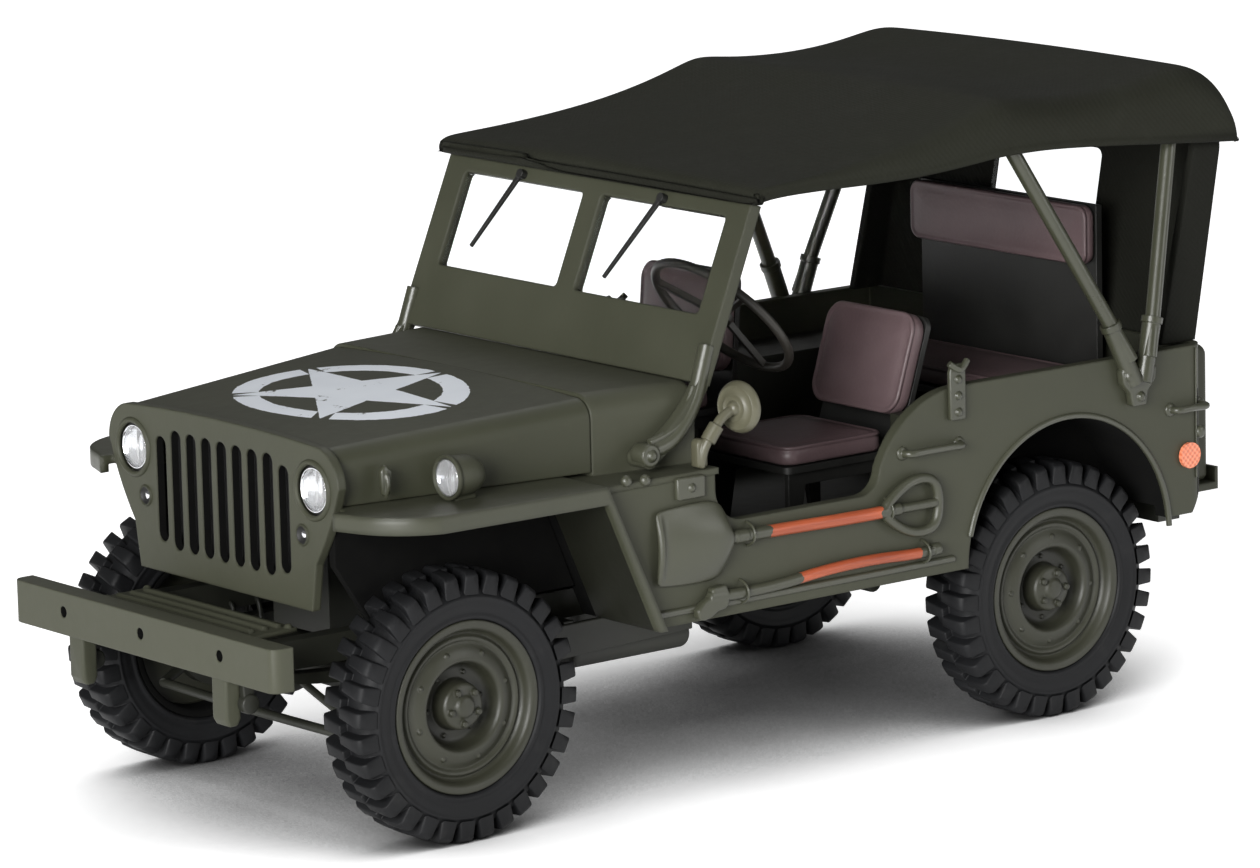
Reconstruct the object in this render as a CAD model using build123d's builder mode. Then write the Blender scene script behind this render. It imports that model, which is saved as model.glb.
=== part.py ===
from build123d import *

import os
from math import atan2, cos, hypot, pi, radians, sin

# Army 4x4 car with its soft top up, as a 1:43 display model.
# Millimetres. x runs forward, y to the car's left, z up; the origin is on the ground,
# in the middle of the overall length. Every piece is made where it stands.

os.makedirs("parts", exist_ok=True)

# ---------------------------------------------------------------- driving dimensions
# Overall plan
wheelbase = 47.5
front_overhang = 13.1       # front axle to the bumper's face
rear_overhang = 12.2        # rear axle to the tub's rear panel
tub_half_width = 17.0
panel = 0.8                 # thickness of the tub's walls
sheet = 0.6                 # thickness of hood, fenders, top and brackets
gap = 0.05                  # clearance between pieces that are fitted together
seat_gap = 0.1              # clearance of soft pieces from what carries them

# Wheels
tyre_radius = 8.36
tyre_width = 3.9
track = 27.8                # between the tyres' middle planes
rim_radius = 5.35
lug_count = 32
lug_height = 0.55
pin_radius = 0.55
running_clearance = 0.06    # between an axle pin and its housing

# Heights above the ground
sill_z = 11.3               # lower edge of the tub's sides
floor_z = 13.6              # upper face of the tub's floor
door_sill_z = 17.2
shoulder_z = 20.3           # top of the tub's front corners, under cowl and fenders
tub_top_z = 23.2
hood_front_z = 24.4
cowl_z = 25.7

# Distances behind the front axle
cowl_back = 11.35           # hood's rear seam
windshield_back = 18.4      # foot of the windshield
door_front_back = 18.3
front_bow_back = 43.3       # roof over the front bow
# Distances ahead of and behind the rear axle
door_rear_ahead = 16.8
arch_ahead = 0.1            # wheel arch's centre ahead of the axle
arch_z = 11.25
arch_radius = 8.6

# Front end
grille_ahead = 6.7          # grille's face ahead of the front axle
grille_half_width = 12.3
grille_foot_half_width = 9.2
grille_bottom_z = 14.3
slot_count = 9
slot_pitch = 1.64
slot_width = 1.15
headlamp_y = 9.6
headlamp_z = 21.8
headlamp_radius = 1.55
marker_y = 8.4
marker_z = 18.9
marker_radius = 0.55
hood_front_half_width = 11.4
hood_rear_inset = 3.3       # hood's rear edge inside the tub's side
hood_bottom_z = 20.95
fender_beyond = 1.0         # fenders' outer edge beyond the tub's side
fender_top_z = 20.9
fender_front_ahead = 7.0
fender_corner_share = 0.72  # of the fender's width beside the grille, taken by its round corner
fender_rear_back = 9.3      # where the fender's top bends down to its foot
foot_back = 13.4            # foot of the fender and of the tub's front wall
bumper_half_width = 14.5
bumper_z = 11.0
bumper_height = 2.7
bumper_depth = 1.6

# Chassis
rail_y = 8.46
rail_width = 1.2
rail_z = 10.9
rail_height = 1.8
spring_width = 1.05
spring_half_length = 10.6
housing_radius = 1.0
plinth_hole_radius = 0.9
plinth_hole_depth = 4.0
plinth_boss_radius = 1.9
plinth_front_back = 27.5    # front screw hole behind the front axle
plinth_rear_ahead = 6.2     # rear screw hole ahead of the rear axle
plinth_z = 7.4              # lower face of the screw bosses

# Windshield
rake = 22.7                 # lean of the windshield, degrees
frame_height = 11.56
frame_inset = 1.4           # windshield frame's foot inside the tub's side
frame_taper = 0.1           # and its top inside its foot
frame_depth = 0.8
pane_bottom = 4.17          # up the frame's slope
pane_head = 1.06            # frame's head above the panes
pane_margin = 2.0           # outer edge of the panes inside the frame's
mullion = 1.8
glass = 0.3

# Soft top
canvas_inset = 0.6          # roof's sides inside the tub's
canvas_overhang = 3.3       # roof's rear edge behind the tub's rear panel
canvas_edge = 2.0           # rounding of the roof's long edges
canvas_depth = 1.2          # roof's depth over the windshield
front_bow_rise = 3.3        # roof over the front bow above its front edge
rear_bow_rise = 0.5         # and over the rear bow above the front bow
rear_window_half_width = 5.3
rear_window_drop = 1.9      # window's top below the roof's side bands
rear_window_height = 7.6
bow_radius = 0.5
bow_stand_off = 0.75        # bows' feet outside the tub's side
bow_foot_z = 21.6

# Seats
front_seat_y = 6.4
front_seat_width = 8.6
cushion_thickness = 1.3
back_height = 7.2
back_pad = 1.2
seat_depth = 9.4
driver_cushion_z = 19.6     # top of the cushion
driver_seat_back = 38.4     # foot of the seat back behind the front axle
driver_lean = 18.0          # lean of the seat back, degrees
passenger_cushion_z = 21.2
passenger_seat_back = 34.6
passenger_lean = 5.0
rear_cushion_z = 20.9
rear_back_half_width = 8.8
rear_back_z = 31.6

# Controls
steering_y = 7.6
steering_back = 26.7
steering_z = 28.0
steering_radius = 5.35
steering_tilt = 42.6        # wheel's plane from upright, degrees
steering_rim = 0.3

# Tail
spare_y = -6.2
spare_z = 18.2
spare_stand_off = 0.9
can_y = 8.6
can_width = 8.0
can_depth = 3.9
can_height = 10.6
can_z = 12.8

# ------------------------------------------------------------------ derived stations
overall_length = front_overhang + wheelbase + rear_overhang + spare_stand_off + tyre_width
front_x = overall_length / 2 - front_overhang
rear_x = front_x - wheelbase
tail_x = rear_x - rear_overhang
cowl_x = front_x - cowl_back
windshield_x = front_x - windshield_back
door_front_x = front_x - door_front_back
door_rear_x = rear_x + door_rear_ahead
grille_x = front_x + grille_ahead
arch_x = rear_x + arch_ahead
foot_x = front_x - foot_back
bend_x = front_x - fender_rear_back
axle_z = tyre_radius
inner_y = tub_half_width - panel
rail_top_z = rail_z + rail_height
floor_bottom_z = rail_top_z + gap
wheel_y = track / 2
hood_rear_half_width = tub_half_width - hood_rear_inset
fender_half_width = tub_half_width + fender_beyond
frame_foot_half_width = tub_half_width - frame_inset
frame_top_half_width = frame_foot_half_width - frame_taper
pane_half_width = frame_top_half_width - pane_margin
pane_top = frame_height - pane_head
lean = radians(rake)
frame_foot_z = cowl_z + 2 * gap
band_z = frame_foot_z + frame_height * cos(lean) + gap      # lower edge of the roof's side bands
canvas_front_z = band_z + canvas_depth
front_bow_z = canvas_front_z + front_bow_rise
rear_bow_z = front_bow_z + rear_bow_rise
rear_window_high_z = band_z - rear_window_drop
rear_window_low_z = rear_window_high_z - rear_window_height
canvas_half_width = tub_half_width - canvas_inset
bow_foot_y = tub_half_width + bow_stand_off
tyre_inner_y = wheel_y - tyre_width / 2
SIDES = (("left", 1), ("right", -1))


def side(y):
    """Upright plane at y: sketch in x and z, extruded towards -y."""
    return Plane.XZ.offset(-y)


def cross(x):
    """Upright plane at x: sketch in y and z, extruded forward."""
    return Plane.YZ.offset(x)


def level(z):
    """Flat plane at z: sketch in x and y, extruded upward."""
    return Plane.XY.offset(z)


def save(piece, label):
    """Name a finished piece and write its file."""
    piece.label = label
    export_step(piece, f"parts/{label}.step")


def both_sides(piece):
    """A piece and its mirror image across the car's middle, as one compound."""
    return Compound(children=[*piece.solids(), *piece.mirror(Plane.XZ).solids()])


# ------------------------------------------------------------------------------- tub
# One outline in side view, from sill to top edge, with the door cut and the sloped
# front wall, filled across the car and then hollowed into floor, walls and wheel boxes.
tub_corner = 1.6
sill_flange = 15.9          # inner face of the sills under the floor
box_inner_y = 10.8          # inner wall of the wheel boxes
box_top_z = arch_z + arch_radius + panel
box_front_x = arch_x + arch_radius + 1.1
door_corner = 2.1           # rounding of the door cut's lower front corner
curve_x = door_rear_x - 0.9
curve_foot = 1.7            # run of the tight curve at the door cut's rear foot
curve_rise = 1.6
top_curve_x = door_rear_x - 7.4
top_curve_run = 4.4
top_curve_drop = 1.6
tail_bevel_x = 1.5          # lower rear corner of the tub's sides, cut off
tail_bevel_z = 2.0
tail_low_z = sill_z + 0.8   # lower edge of the tub behind the rear wheels
foot_seam = 0.3             # the sloped wall behind the fender's foot
wall_slope = (bend_x - foot_x) / (shoulder_z - sill_z)
wall_run = panel * hypot(1, wall_slope)     # the sloped wall's thickness along x


def wall_x(z):
    """The tub's sloped front wall: x of its outer face at height z."""
    return foot_x - foot_seam + (z - sill_z) * wall_slope


with BuildPart() as body_tub:
    with BuildSketch(side(tub_half_width)):
        with BuildLine():
            Polyline(
                (door_front_x, door_sill_z + door_corner),
                (door_front_x, shoulder_z),
                (wall_x(shoulder_z), shoulder_z),
                (wall_x(sill_z), sill_z),
                (arch_x - arch_radius + 1.0, sill_z),
                (arch_x - arch_radius + 1.0, tail_low_z),
                (tail_x + tail_bevel_x, tail_low_z),
                (tail_x, tail_low_z + tail_bevel_z),
                (tail_x, tub_top_z),
                (top_curve_x, tub_top_z),
            )
            ThreePointArc(
                (top_curve_x, tub_top_z),
                (top_curve_x + top_curve_run, tub_top_z - top_curve_drop),
                (curve_x, door_sill_z + curve_rise),
            )
            ThreePointArc(
                (curve_x, door_sill_z + curve_rise),
                (curve_x + 0.3 * curve_foot, door_sill_z + 0.3 * curve_rise),
                (curve_x + curve_foot, door_sill_z),
            )
            Line((curve_x + curve_foot, door_sill_z), (door_front_x - door_corner, door_sill_z))
            ThreePointArc(
                (door_front_x - door_corner, door_sill_z),
                (door_front_x - 0.3 * door_corner, door_sill_z + 0.3 * door_corner),
                (door_front_x, door_sill_z + door_corner),
            )
        make_face()
    extrude(amount=2 * tub_half_width)
    fillet(body_tub.edges().filter_by(Axis.Z).group_by(Axis.X)[0], tub_corner)
    # cabin between the wheel boxes, ahead of them and above them
    with BuildSketch(side(box_inner_y)):
        with BuildLine():
            Polyline(
                (tail_x + panel, floor_z),
                (wall_x(floor_z) - wall_run, floor_z),
                (wall_x(tub_top_z) - wall_run, tub_top_z),
                (tail_x + panel, tub_top_z),
                close=True,
            )
        make_face()
    extrude(amount=2 * box_inner_y, mode=Mode.SUBTRACT)
    with BuildSketch(side(inner_y)):
        with BuildLine():
            Polyline(
                (box_front_x, floor_z),
                (wall_x(floor_z) - wall_run, floor_z),
                (wall_x(tub_top_z) - wall_run, tub_top_z),
                (box_front_x, tub_top_z),
                close=True,
            )
        make_face()
    extrude(amount=2 * inner_y, mode=Mode.SUBTRACT)
    with BuildSketch(level(box_top_z)):
        with Locations(((tail_x + panel + box_front_x) / 2, 0)):
            Rectangle(box_front_x - tail_x - panel, 2 * inner_y)
    extrude(amount=tub_top_z, mode=Mode.SUBTRACT)
    # wheel wells, open outward and below
    for _, s in SIDES:
        with BuildSketch(side(s * tub_half_width)):
            with Locations((arch_x, arch_z)):
                Circle(arch_radius)
            with Locations((arch_x, arch_z - arch_radius)):
                Rectangle(2 * arch_radius, 2 * arch_radius)
        extrude(amount=s * (tub_half_width - box_inner_y - panel), mode=Mode.SUBTRACT)
    # underside between the sills
    with BuildSketch(level(sill_z)):
        with Locations(((tail_x + panel + bend_x) / 2, 0)):
            Rectangle(bend_x - tail_x - panel, 2 * sill_flange)
    extrude(amount=floor_bottom_z - sill_z, mode=Mode.SUBTRACT)
save(body_tub.part, "body_tub")

# ------------------------------------------------------------- cowl, hood and grille
cowl_inset = 0.9            # cowl's rear corners inside the windshield frame's foot
cowl_edge = 1.5             # rounding of the cowl's top edges
cowl_rear_half_width = frame_foot_half_width - cowl_inset
cowl_rear_x = door_front_x - 0.3
cowl_flare = (cowl_rear_half_width - hood_rear_half_width) / (cowl_x - cowl_rear_x)
deck = 0.4                  # plate that closes the tub's front corners under the cowl


def cowl_side_y(x):
    """Half width of the cowl at x."""
    return hood_rear_half_width + (cowl_x - x) * cowl_flare


def cowl_outline(inset, rear):
    """Cowl in plan: narrow at the hood, wide at the windshield."""
    return [
        (cowl_x - inset, hood_rear_half_width - inset),
        (rear, cowl_rear_half_width - inset),
        (rear, -cowl_rear_half_width + inset),
        (cowl_x - inset, -hood_rear_half_width + inset),
    ]


with BuildPart() as cowl:
    with BuildSketch(level(shoulder_z)):
        with Locations(((wall_x(shoulder_z) + cowl_rear_x) / 2, 0)):
            Rectangle(wall_x(shoulder_z) - cowl_rear_x, 2 * tub_half_width)
    extrude(amount=deck)
    with BuildSketch(level(shoulder_z)):
        with BuildLine():
            Polyline(*cowl_outline(0, cowl_rear_x), close=True)
        make_face()
    extrude(amount=cowl_z - shoulder_z)
    fillet(cowl.faces().sort_by(Axis.Z)[-1].edges().sort_by(Axis.Y)[0], cowl_edge)
    fillet(cowl.faces().sort_by(Axis.Z)[-1].edges().sort_by(Axis.Y)[-1], cowl_edge)
    with BuildSketch(level(shoulder_z)):
        with BuildLine():
            Polyline(*cowl_outline(panel, cowl_rear_x - 1), close=True)
        make_face()
    extrude(amount=cowl_z - shoulder_z - panel, mode=Mode.SUBTRACT)
save(cowl.part, "cowl")

hood_edge = 1.3             # rounding of the hood's long edges
hood_crown = 0.3
hood_front_x = grille_x - sheet - gap
hood_rear_x = cowl_x + 2 * gap
hood_rear_z = cowl_z - 0.25


def hood_section(x, half_width, top, drop):
    """Hood's cross-section at x: upright sides, rounded edges and a slight crown."""
    w, z, r = half_width - drop, top - drop, hood_edge
    with BuildSketch(cross(x)) as section:
        with BuildLine():
            Line((-w, z - r), (-w, hood_bottom_z))
            Line((-w, hood_bottom_z), (w, hood_bottom_z))
            Line((w, hood_bottom_z), (w, z - r))
            RadiusArc((w, z - r), (w - r, z), -r)
            ThreePointArc((w - r, z), (0, z + hood_crown), (-w + r, z))
            RadiusArc((-w + r, z), (-w, z - r), -r)
        make_face()
    return section.sketch


with BuildPart() as hood:
    loft(
        [
            hood_section(hood_front_x, hood_front_half_width, hood_front_z, 0),
            hood_section(hood_rear_x, hood_rear_half_width, hood_rear_z, 0),
        ]
    )
    loft(
        [
            hood_section(hood_front_x, hood_front_half_width, hood_front_z, sheet),
            hood_section(hood_rear_x, hood_rear_half_width, hood_rear_z, sheet),
        ],
        mode=Mode.SUBTRACT,
    )
save(hood.part, "hood")

grille_cheek_z = headlamp_z + 0.4
grille_waist_z = 17.2
grille_flare = 0.5          # widening from the foot to the waist
grille_corner = 2.0
grille_crown = 0.4          # top of the grille above the hood's front edge
slot_low_z = 15.9
slot_high_z = 23.45
outer_slot_rise = 0.35
outer_slot_drop = 0.55
with BuildPart() as grille_panel:
    with BuildSketch(cross(grille_x - sheet)):
        with BuildLine() as outline:
            Line((0, grille_bottom_z), (grille_foot_half_width, grille_bottom_z))
            Line((grille_foot_half_width, grille_bottom_z), (grille_foot_half_width + grille_flare, grille_waist_z))
            ThreePointArc(
                (grille_foot_half_width + grille_flare, grille_waist_z),
                (grille_half_width - 0.4 * grille_corner, grille_cheek_z - grille_corner),
                (grille_half_width, grille_cheek_z),
            )
            ThreePointArc(
                (grille_half_width, grille_cheek_z),
                (grille_half_width - 0.3 * grille_corner, hood_front_z - 0.35 * grille_corner),
                (grille_half_width - grille_corner, hood_front_z + 0.25 * grille_crown),
            )
            ThreePointArc(
                (grille_half_width - grille_corner, hood_front_z + 0.25 * grille_crown),
                (grille_half_width / 2, hood_front_z + 0.75 * grille_crown),
                (0, hood_front_z + grille_crown),
            )
            mirror(outline.line, about=Plane.YZ)
        make_face()
        # nine slots, the outer two shorter than the rest
        for k in range(slot_count):
            outer = k in (0, slot_count - 1)
            low = slot_low_z + (outer_slot_rise if outer else 0)
            high = slot_high_z - (outer_slot_drop if outer else 0)
            with Locations(((k - (slot_count - 1) / 2) * slot_pitch, (low + high) / 2)):
                SlotOverall(high - low, slot_width, rotation=90, mode=Mode.SUBTRACT)
        with Locations((headlamp_y, headlamp_z), (-headlamp_y, headlamp_z)):
            Circle(headlamp_radius + 3 * gap, mode=Mode.SUBTRACT)
        with Locations((marker_y, marker_z), (-marker_y, marker_z)):
            Circle(marker_radius + gap, mode=Mode.SUBTRACT)
    extrude(amount=sheet)
save(grille_panel.part, "grille_panel")

radiator_back = 0.3         # radiator's face behind the grille panel
radiator_depth = 1.4
radiator_margin = 0.4
with BuildPart() as radiator:
    with BuildSketch(cross(grille_x - sheet - radiator_back)):
        with Locations((0, (slot_low_z + slot_high_z) / 2)):
            Rectangle(slot_count * slot_pitch - slot_width / 2, slot_high_z - slot_low_z + 2 * radiator_margin)
    extrude(amount=-radiator_depth)
save(radiator.part, "radiator")

# ------------------------------------------------------------------------------ lamps
lamp_ring = 0.12            # bright ring's edge beyond the bowl
ring_face = 0.15            # and its face ahead of the grille
lens_depth = 0.4
with BuildPart() as headlamp_bowl:
    with BuildSketch(side(headlamp_y)):
        with BuildLine():
            Polyline(
                (grille_x - sheet, headlamp_z),
                (grille_x - sheet, headlamp_z + headlamp_radius - 2 * gap),
                (grille_x, headlamp_z + headlamp_radius),
                (grille_x, headlamp_z + headlamp_radius + lamp_ring),
                (grille_x + ring_face, headlamp_z + headlamp_radius),
                (grille_x + ring_face, headlamp_z + headlamp_radius - 4 * gap),
                (grille_x - sheet + ring_face, headlamp_z),
                close=True,
            )
        make_face()
    revolve(axis=Axis((grille_x, headlamp_y, headlamp_z), (1, 0, 0)))

with BuildPart() as headlamp_lens:
    with BuildSketch(cross(grille_x + ring_face + 0.01)):
        with Locations((headlamp_y, headlamp_z)):
            Circle(headlamp_radius - gap)
    extrude(amount=lens_depth)
    fillet(headlamp_lens.faces().sort_by(Axis.X)[-1].edges(), 0.85 * lens_depth)

marker_depth = 0.75
marker_sunk = 0.5           # of it inside the grille panel
with BuildPart() as marker_lamp:
    with BuildSketch(cross(grille_x - marker_sunk)):
        with Locations((marker_y, marker_z)):
            Circle(marker_radius)
    extrude(amount=marker_depth)
    fillet(marker_lamp.faces().sort_by(Axis.X)[-1].edges(), 0.35 * marker_radius)
save(both_sides(Compound(children=[headlamp_bowl.part, marker_lamp.part])), "lamp_bowls")

fender_lamp_y = 14.3
fender_lamp_x = front_x + 0.2
fender_lamp_z = fender_top_z + 1.25
fender_lamp_radius = 1.0
fender_lamp_length = 2.3
fender_lamp_foot = 1.3
with BuildPart() as fender_lamp:
    with BuildSketch(side(fender_lamp_y)):
        with BuildLine():
            Line((fender_lamp_x, fender_lamp_z), (fender_lamp_x, fender_lamp_z + fender_lamp_radius))
            Line(
                (fender_lamp_x, fender_lamp_z + fender_lamp_radius),
                (fender_lamp_x - fender_lamp_length / 2, fender_lamp_z + fender_lamp_radius),
            )
            ThreePointArc(
                (fender_lamp_x - fender_lamp_length / 2, fender_lamp_z + fender_lamp_radius),
                (fender_lamp_x - 0.87 * fender_lamp_length, fender_lamp_z + 0.65 * fender_lamp_radius),
                (fender_lamp_x - fender_lamp_length, fender_lamp_z),
            )
            Line((fender_lamp_x - fender_lamp_length, fender_lamp_z), (fender_lamp_x, fender_lamp_z))
        make_face()
    revolve(axis=Axis((fender_lamp_x, fender_lamp_y, fender_lamp_z), (1, 0, 0)))
    with BuildSketch(level(fender_top_z)):
        with Locations((fender_lamp_x - fender_lamp_length / 2, fender_lamp_y)):
            Rectangle(fender_lamp_foot, 0.8 * fender_lamp_radius)
    extrude(amount=fender_lamp_z - fender_lamp_radius / 2 - fender_top_z)
save(fender_lamp.part, "fender_lamp")

with BuildPart() as fender_lamp_lens:
    with BuildSketch(cross(fender_lamp_x + 0.01)):
        with Locations((fender_lamp_y, fender_lamp_z)):
            Circle(fender_lamp_radius - 3 * gap)
    extrude(amount=lens_depth)
    fillet(fender_lamp_lens.faces().sort_by(Axis.X)[-1].edges(), 0.85 * lens_depth)
lenses = both_sides(headlamp_lens.part).solids() + fender_lamp_lens.part.solids()
save(Compound(children=lenses), "lamp_lenses")

# ---------------------------------------------------------------------- front fenders
# Flat top with a turned-down outer lip, a foot that slopes back down to the sill, and
# an inner apron between the engine bay and the wheel.
fender_inner_y = 10.2
fender_lip = 0.9
lip_bottom_z = fender_top_z - sheet - fender_lip
fender_front_x = front_x + fender_front_ahead
fender_seam_y = grille_half_width + 3 * gap
fender_corner = fender_corner_share * (fender_half_width - fender_seam_y)
apron_front_x = front_x + 3.5
apron_bottom_z = rail_top_z + 0.6
lip_run = 0.4               # thickness of the foot at the sill, seen from the side
for name, s in SIDES:
    with BuildPart() as fender:
        with BuildSketch(level(fender_top_z - sheet)):
            with BuildLine():
                Polyline(
                    (fender_front_x, s * fender_seam_y),
                    (fender_front_x, s * (fender_half_width - fender_corner)),
                )
                RadiusArc(
                    (fender_front_x, s * (fender_half_width - fender_corner)),
                    (fender_front_x - fender_corner, s * fender_half_width),
                    s * -fender_corner,
                )
                Polyline(
                    (fender_front_x - fender_corner, s * fender_half_width),
                    (bend_x, s * fender_half_width),
                    (bend_x, s * fender_inner_y),
                    (grille_x - sheet - gap, s * fender_inner_y),
                    (grille_x - sheet - gap, s * fender_seam_y),
                    (fender_front_x, s * fender_seam_y),
                )
            make_face()
        extrude(amount=sheet)
        # turned-down lip along the outer edge and round the front corner
        with BuildSketch(level(lip_bottom_z)):
            with BuildLine():
                Line((bend_x, s * fender_half_width), (fender_front_x - fender_corner, s * fender_half_width))
                RadiusArc(
                    (fender_front_x - fender_corner, s * fender_half_width),
                    (fender_front_x, s * (fender_half_width - fender_corner)),
                    s * fender_corner,
                )
                Polyline(
                    (fender_front_x, s * (fender_half_width - fender_corner)),
                    (fender_front_x, s * fender_seam_y),
                    (fender_front_x - sheet, s * fender_seam_y),
                    (fender_front_x - sheet, s * (fender_half_width - fender_corner)),
                )
                RadiusArc(
                    (fender_front_x - sheet, s * (fender_half_width - fender_corner)),
                    (fender_front_x - fender_corner, s * (fender_half_width - sheet)),
                    s * -(fender_corner - sheet),
                )
                Polyline(
                    (fender_front_x - fender_corner, s * (fender_half_width - sheet)),
                    (bend_x, s * (fender_half_width - sheet)),
                    (bend_x, s * fender_half_width),
                )
            make_face()
        extrude(amount=fender_lip)
        # foot, sloping from the bend down to the sill, closed towards the tub
        with BuildSketch(side(s * fender_half_width)):
            with BuildLine():
                Polyline(
                    (bend_x, fender_top_z),
                    (bend_x, lip_bottom_z),
                    (foot_x + lip_run, sill_z),
                    (wall_x(sill_z) + gap, sill_z),
                    (wall_x(shoulder_z + deck) + gap, shoulder_z + deck),
                    (wall_x(shoulder_z + deck) + gap, fender_top_z),
                    close=True,
                )
            make_face()
        extrude(amount=s * (fender_half_width - fender_inner_y))
        # inner apron
        with BuildSketch(side(s * (fender_inner_y + sheet))):
            with BuildLine():
                Polyline(
                    (grille_x - sheet - gap, fender_top_z),
                    (grille_x - sheet - gap, grille_waist_z),
                    (apron_front_x, apron_bottom_z),
                    (foot_x + 1.4, apron_bottom_z),
                    (bend_x, lip_bottom_z),
                    (bend_x, fender_top_z),
                    close=True,
                )
            make_face()
        extrude(amount=s * sheet)
    save(fender.part, f"front_fender_{name}")

# --------------------------------------------------------------------- front bumper
bumper_x = front_x + front_overhang
bumper_web = 0.6            # thickness of the channel's face
bumper_flange = 0.45        # and of its two flanges
with BuildPart() as front_bumper:
    with BuildSketch(side(bumper_half_width)):
        with BuildLine():
            Polyline(
                (bumper_x, bumper_z),
                (bumper_x, bumper_z + bumper_height),
                (bumper_x - bumper_depth, bumper_z + bumper_height),
                (bumper_x - bumper_depth, bumper_z + bumper_height - bumper_flange),
                (bumper_x - bumper_web, bumper_z + bumper_height - bumper_flange),
                (bumper_x - bumper_web, bumper_z + bumper_flange),
                (bumper_x - bumper_depth, bumper_z + bumper_flange),
                (bumper_x - bumper_depth, bumper_z),
                close=True,
            )
        make_face()
    extrude(amount=2 * bumper_half_width)
    fillet(front_bumper.faces().sort_by(Axis.X)[-1].edges(), 0.2)
save(front_bumper.part, "front_bumper")

# ---------------------------------------------------------------------------- chassis
# Two rails under the floor with cross members, the bosses for the plinth's screws and
# a rear member that carries the two bumperettes.
plinth_front_x = front_x - plinth_front_back
plinth_rear_x = rear_x + plinth_rear_ahead
member_height = 1.1
member_width = 1.4
bumperette_y = 12.0
bumperette_width = 3.0
bumperette_depth = 1.0
tail_member_x = tail_x + 0.6
nose_member_x = front_x + 9.0
rear_member_x = rear_x - 8.6
with BuildPart() as chassis_frame:
    rail_front = bumper_x - bumper_depth
    rail_rear = tail_x + panel + gap
    with BuildSketch(level(rail_z)):
        for _, s in SIDES:
            with Locations(((rail_front + rail_rear) / 2, s * rail_y)):
                Rectangle(rail_front - rail_rear, rail_width)
    extrude(amount=rail_height)
    with BuildSketch(level(rail_z)):
        for member_x in (nose_member_x, plinth_front_x, plinth_rear_x, rear_member_x):
            with Locations((member_x, 0)):
                Rectangle(member_width, 2 * rail_y)
        with Locations((tail_member_x, 0)):
            Rectangle(member_width, 2 * bumperette_y + bumperette_width)
        for _, s in SIDES:
            with Locations((tail_member_x - member_width / 2, s * bumperette_y)):
                Rectangle(bumperette_depth, bumperette_width)
    extrude(amount=member_height)
    with BuildSketch(level(plinth_z)):
        for hole_x in (plinth_front_x, plinth_rear_x):
            with Locations((hole_x, 0)):
                Circle(plinth_boss_radius)
    extrude(amount=rail_z + member_height - plinth_z)
    with BuildSketch(level(plinth_z)):
        for hole_x in (plinth_front_x, plinth_rear_x):
            with Locations((hole_x, 0)):
                Circle(plinth_hole_radius)
    extrude(amount=plinth_hole_depth, mode=Mode.SUBTRACT)
save(chassis_frame.part, "chassis_frame")

# leaf springs, bowed down in the middle to rest on the axle housings
spring_eye = 0.45           # thickness of a spring at its ends
spring_pad = 0.9            # length of its flat ends
spring_stack = 0.8          # thickness of the leaves over the axle
spring_end_z = rail_z - gap
spring_seat_z = axle_z + housing_radius + gap
for name, spring_x in (("front", front_x), ("rear", rear_x)):
    with BuildPart() as springs:
        with BuildSketch(side(rail_y + spring_width / 2)):
            with BuildLine():
                a, b = spring_x - spring_half_length, spring_x + spring_half_length
                ThreePointArc((a, spring_end_z - spring_eye), (spring_x, spring_seat_z), (b, spring_end_z - spring_eye))
                Line((b, spring_end_z - spring_eye), (b, spring_end_z))
                Line((b, spring_end_z), (b - spring_pad, spring_end_z))
                ThreePointArc(
                    (b - spring_pad, spring_end_z),
                    (spring_x, spring_seat_z + spring_stack),
                    (a + spring_pad, spring_end_z),
                )
                Line((a + spring_pad, spring_end_z), (a, spring_end_z))
                Line((a, spring_end_z), (a, spring_end_z - spring_eye))
            make_face()
        extrude(amount=spring_width)
    save(both_sides(springs.part), f"{name}_springs")

# axle housings with offset differential and brake drums; the axle pin runs through
differential_y = -3.6
differential_radius = 2.3
drum_radius = 3.0
drum_width = 0.9
drum_gap = 0.35             # between drum and tyre
rod_back = 2.3              # track rod behind and below the axle
rod_drop = 1.6
rod_radius = 0.32
housing_end_y = tyre_inner_y - drum_gap
for name, housing_x in (("front", front_x), ("rear", rear_x)):
    with BuildPart() as housing:
        with BuildSketch(side(housing_end_y)):
            with Locations((housing_x, axle_z)):
                Circle(housing_radius)
        extrude(amount=2 * housing_end_y)
        for _, s in SIDES:
            with BuildSketch(side(s * housing_end_y)):
                with Locations((housing_x, axle_z)):
                    Circle(drum_radius)
            extrude(amount=s * drum_width)
        with BuildSketch(side(differential_y)):
            with BuildLine():
                ThreePointArc(
                    (housing_x - differential_radius, axle_z),
                    (housing_x, axle_z + differential_radius),
                    (housing_x + differential_radius, axle_z),
                )
                Line((housing_x + differential_radius, axle_z), (housing_x - differential_radius, axle_z))
            make_face()
        revolve(axis=Axis((housing_x, differential_y, axle_z), (1, 0, 0)))
        if name == "front":
            # steering track rod behind the axle, on an arm from each drum
            rod_x = housing_x - rod_back
            with BuildSketch(side(housing_end_y - drum_width)):
                with Locations((rod_x, axle_z - rod_drop)):
                    Circle(rod_radius)
            extrude(amount=2 * (housing_end_y - drum_width))
        with BuildSketch(side(housing_end_y)):
            with Locations((housing_x, axle_z)):
                Circle(pin_radius + running_clearance)
        extrude(amount=2 * housing_end_y, mode=Mode.SUBTRACT)
    save(housing.part, f"{name}_axle_housing")

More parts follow.
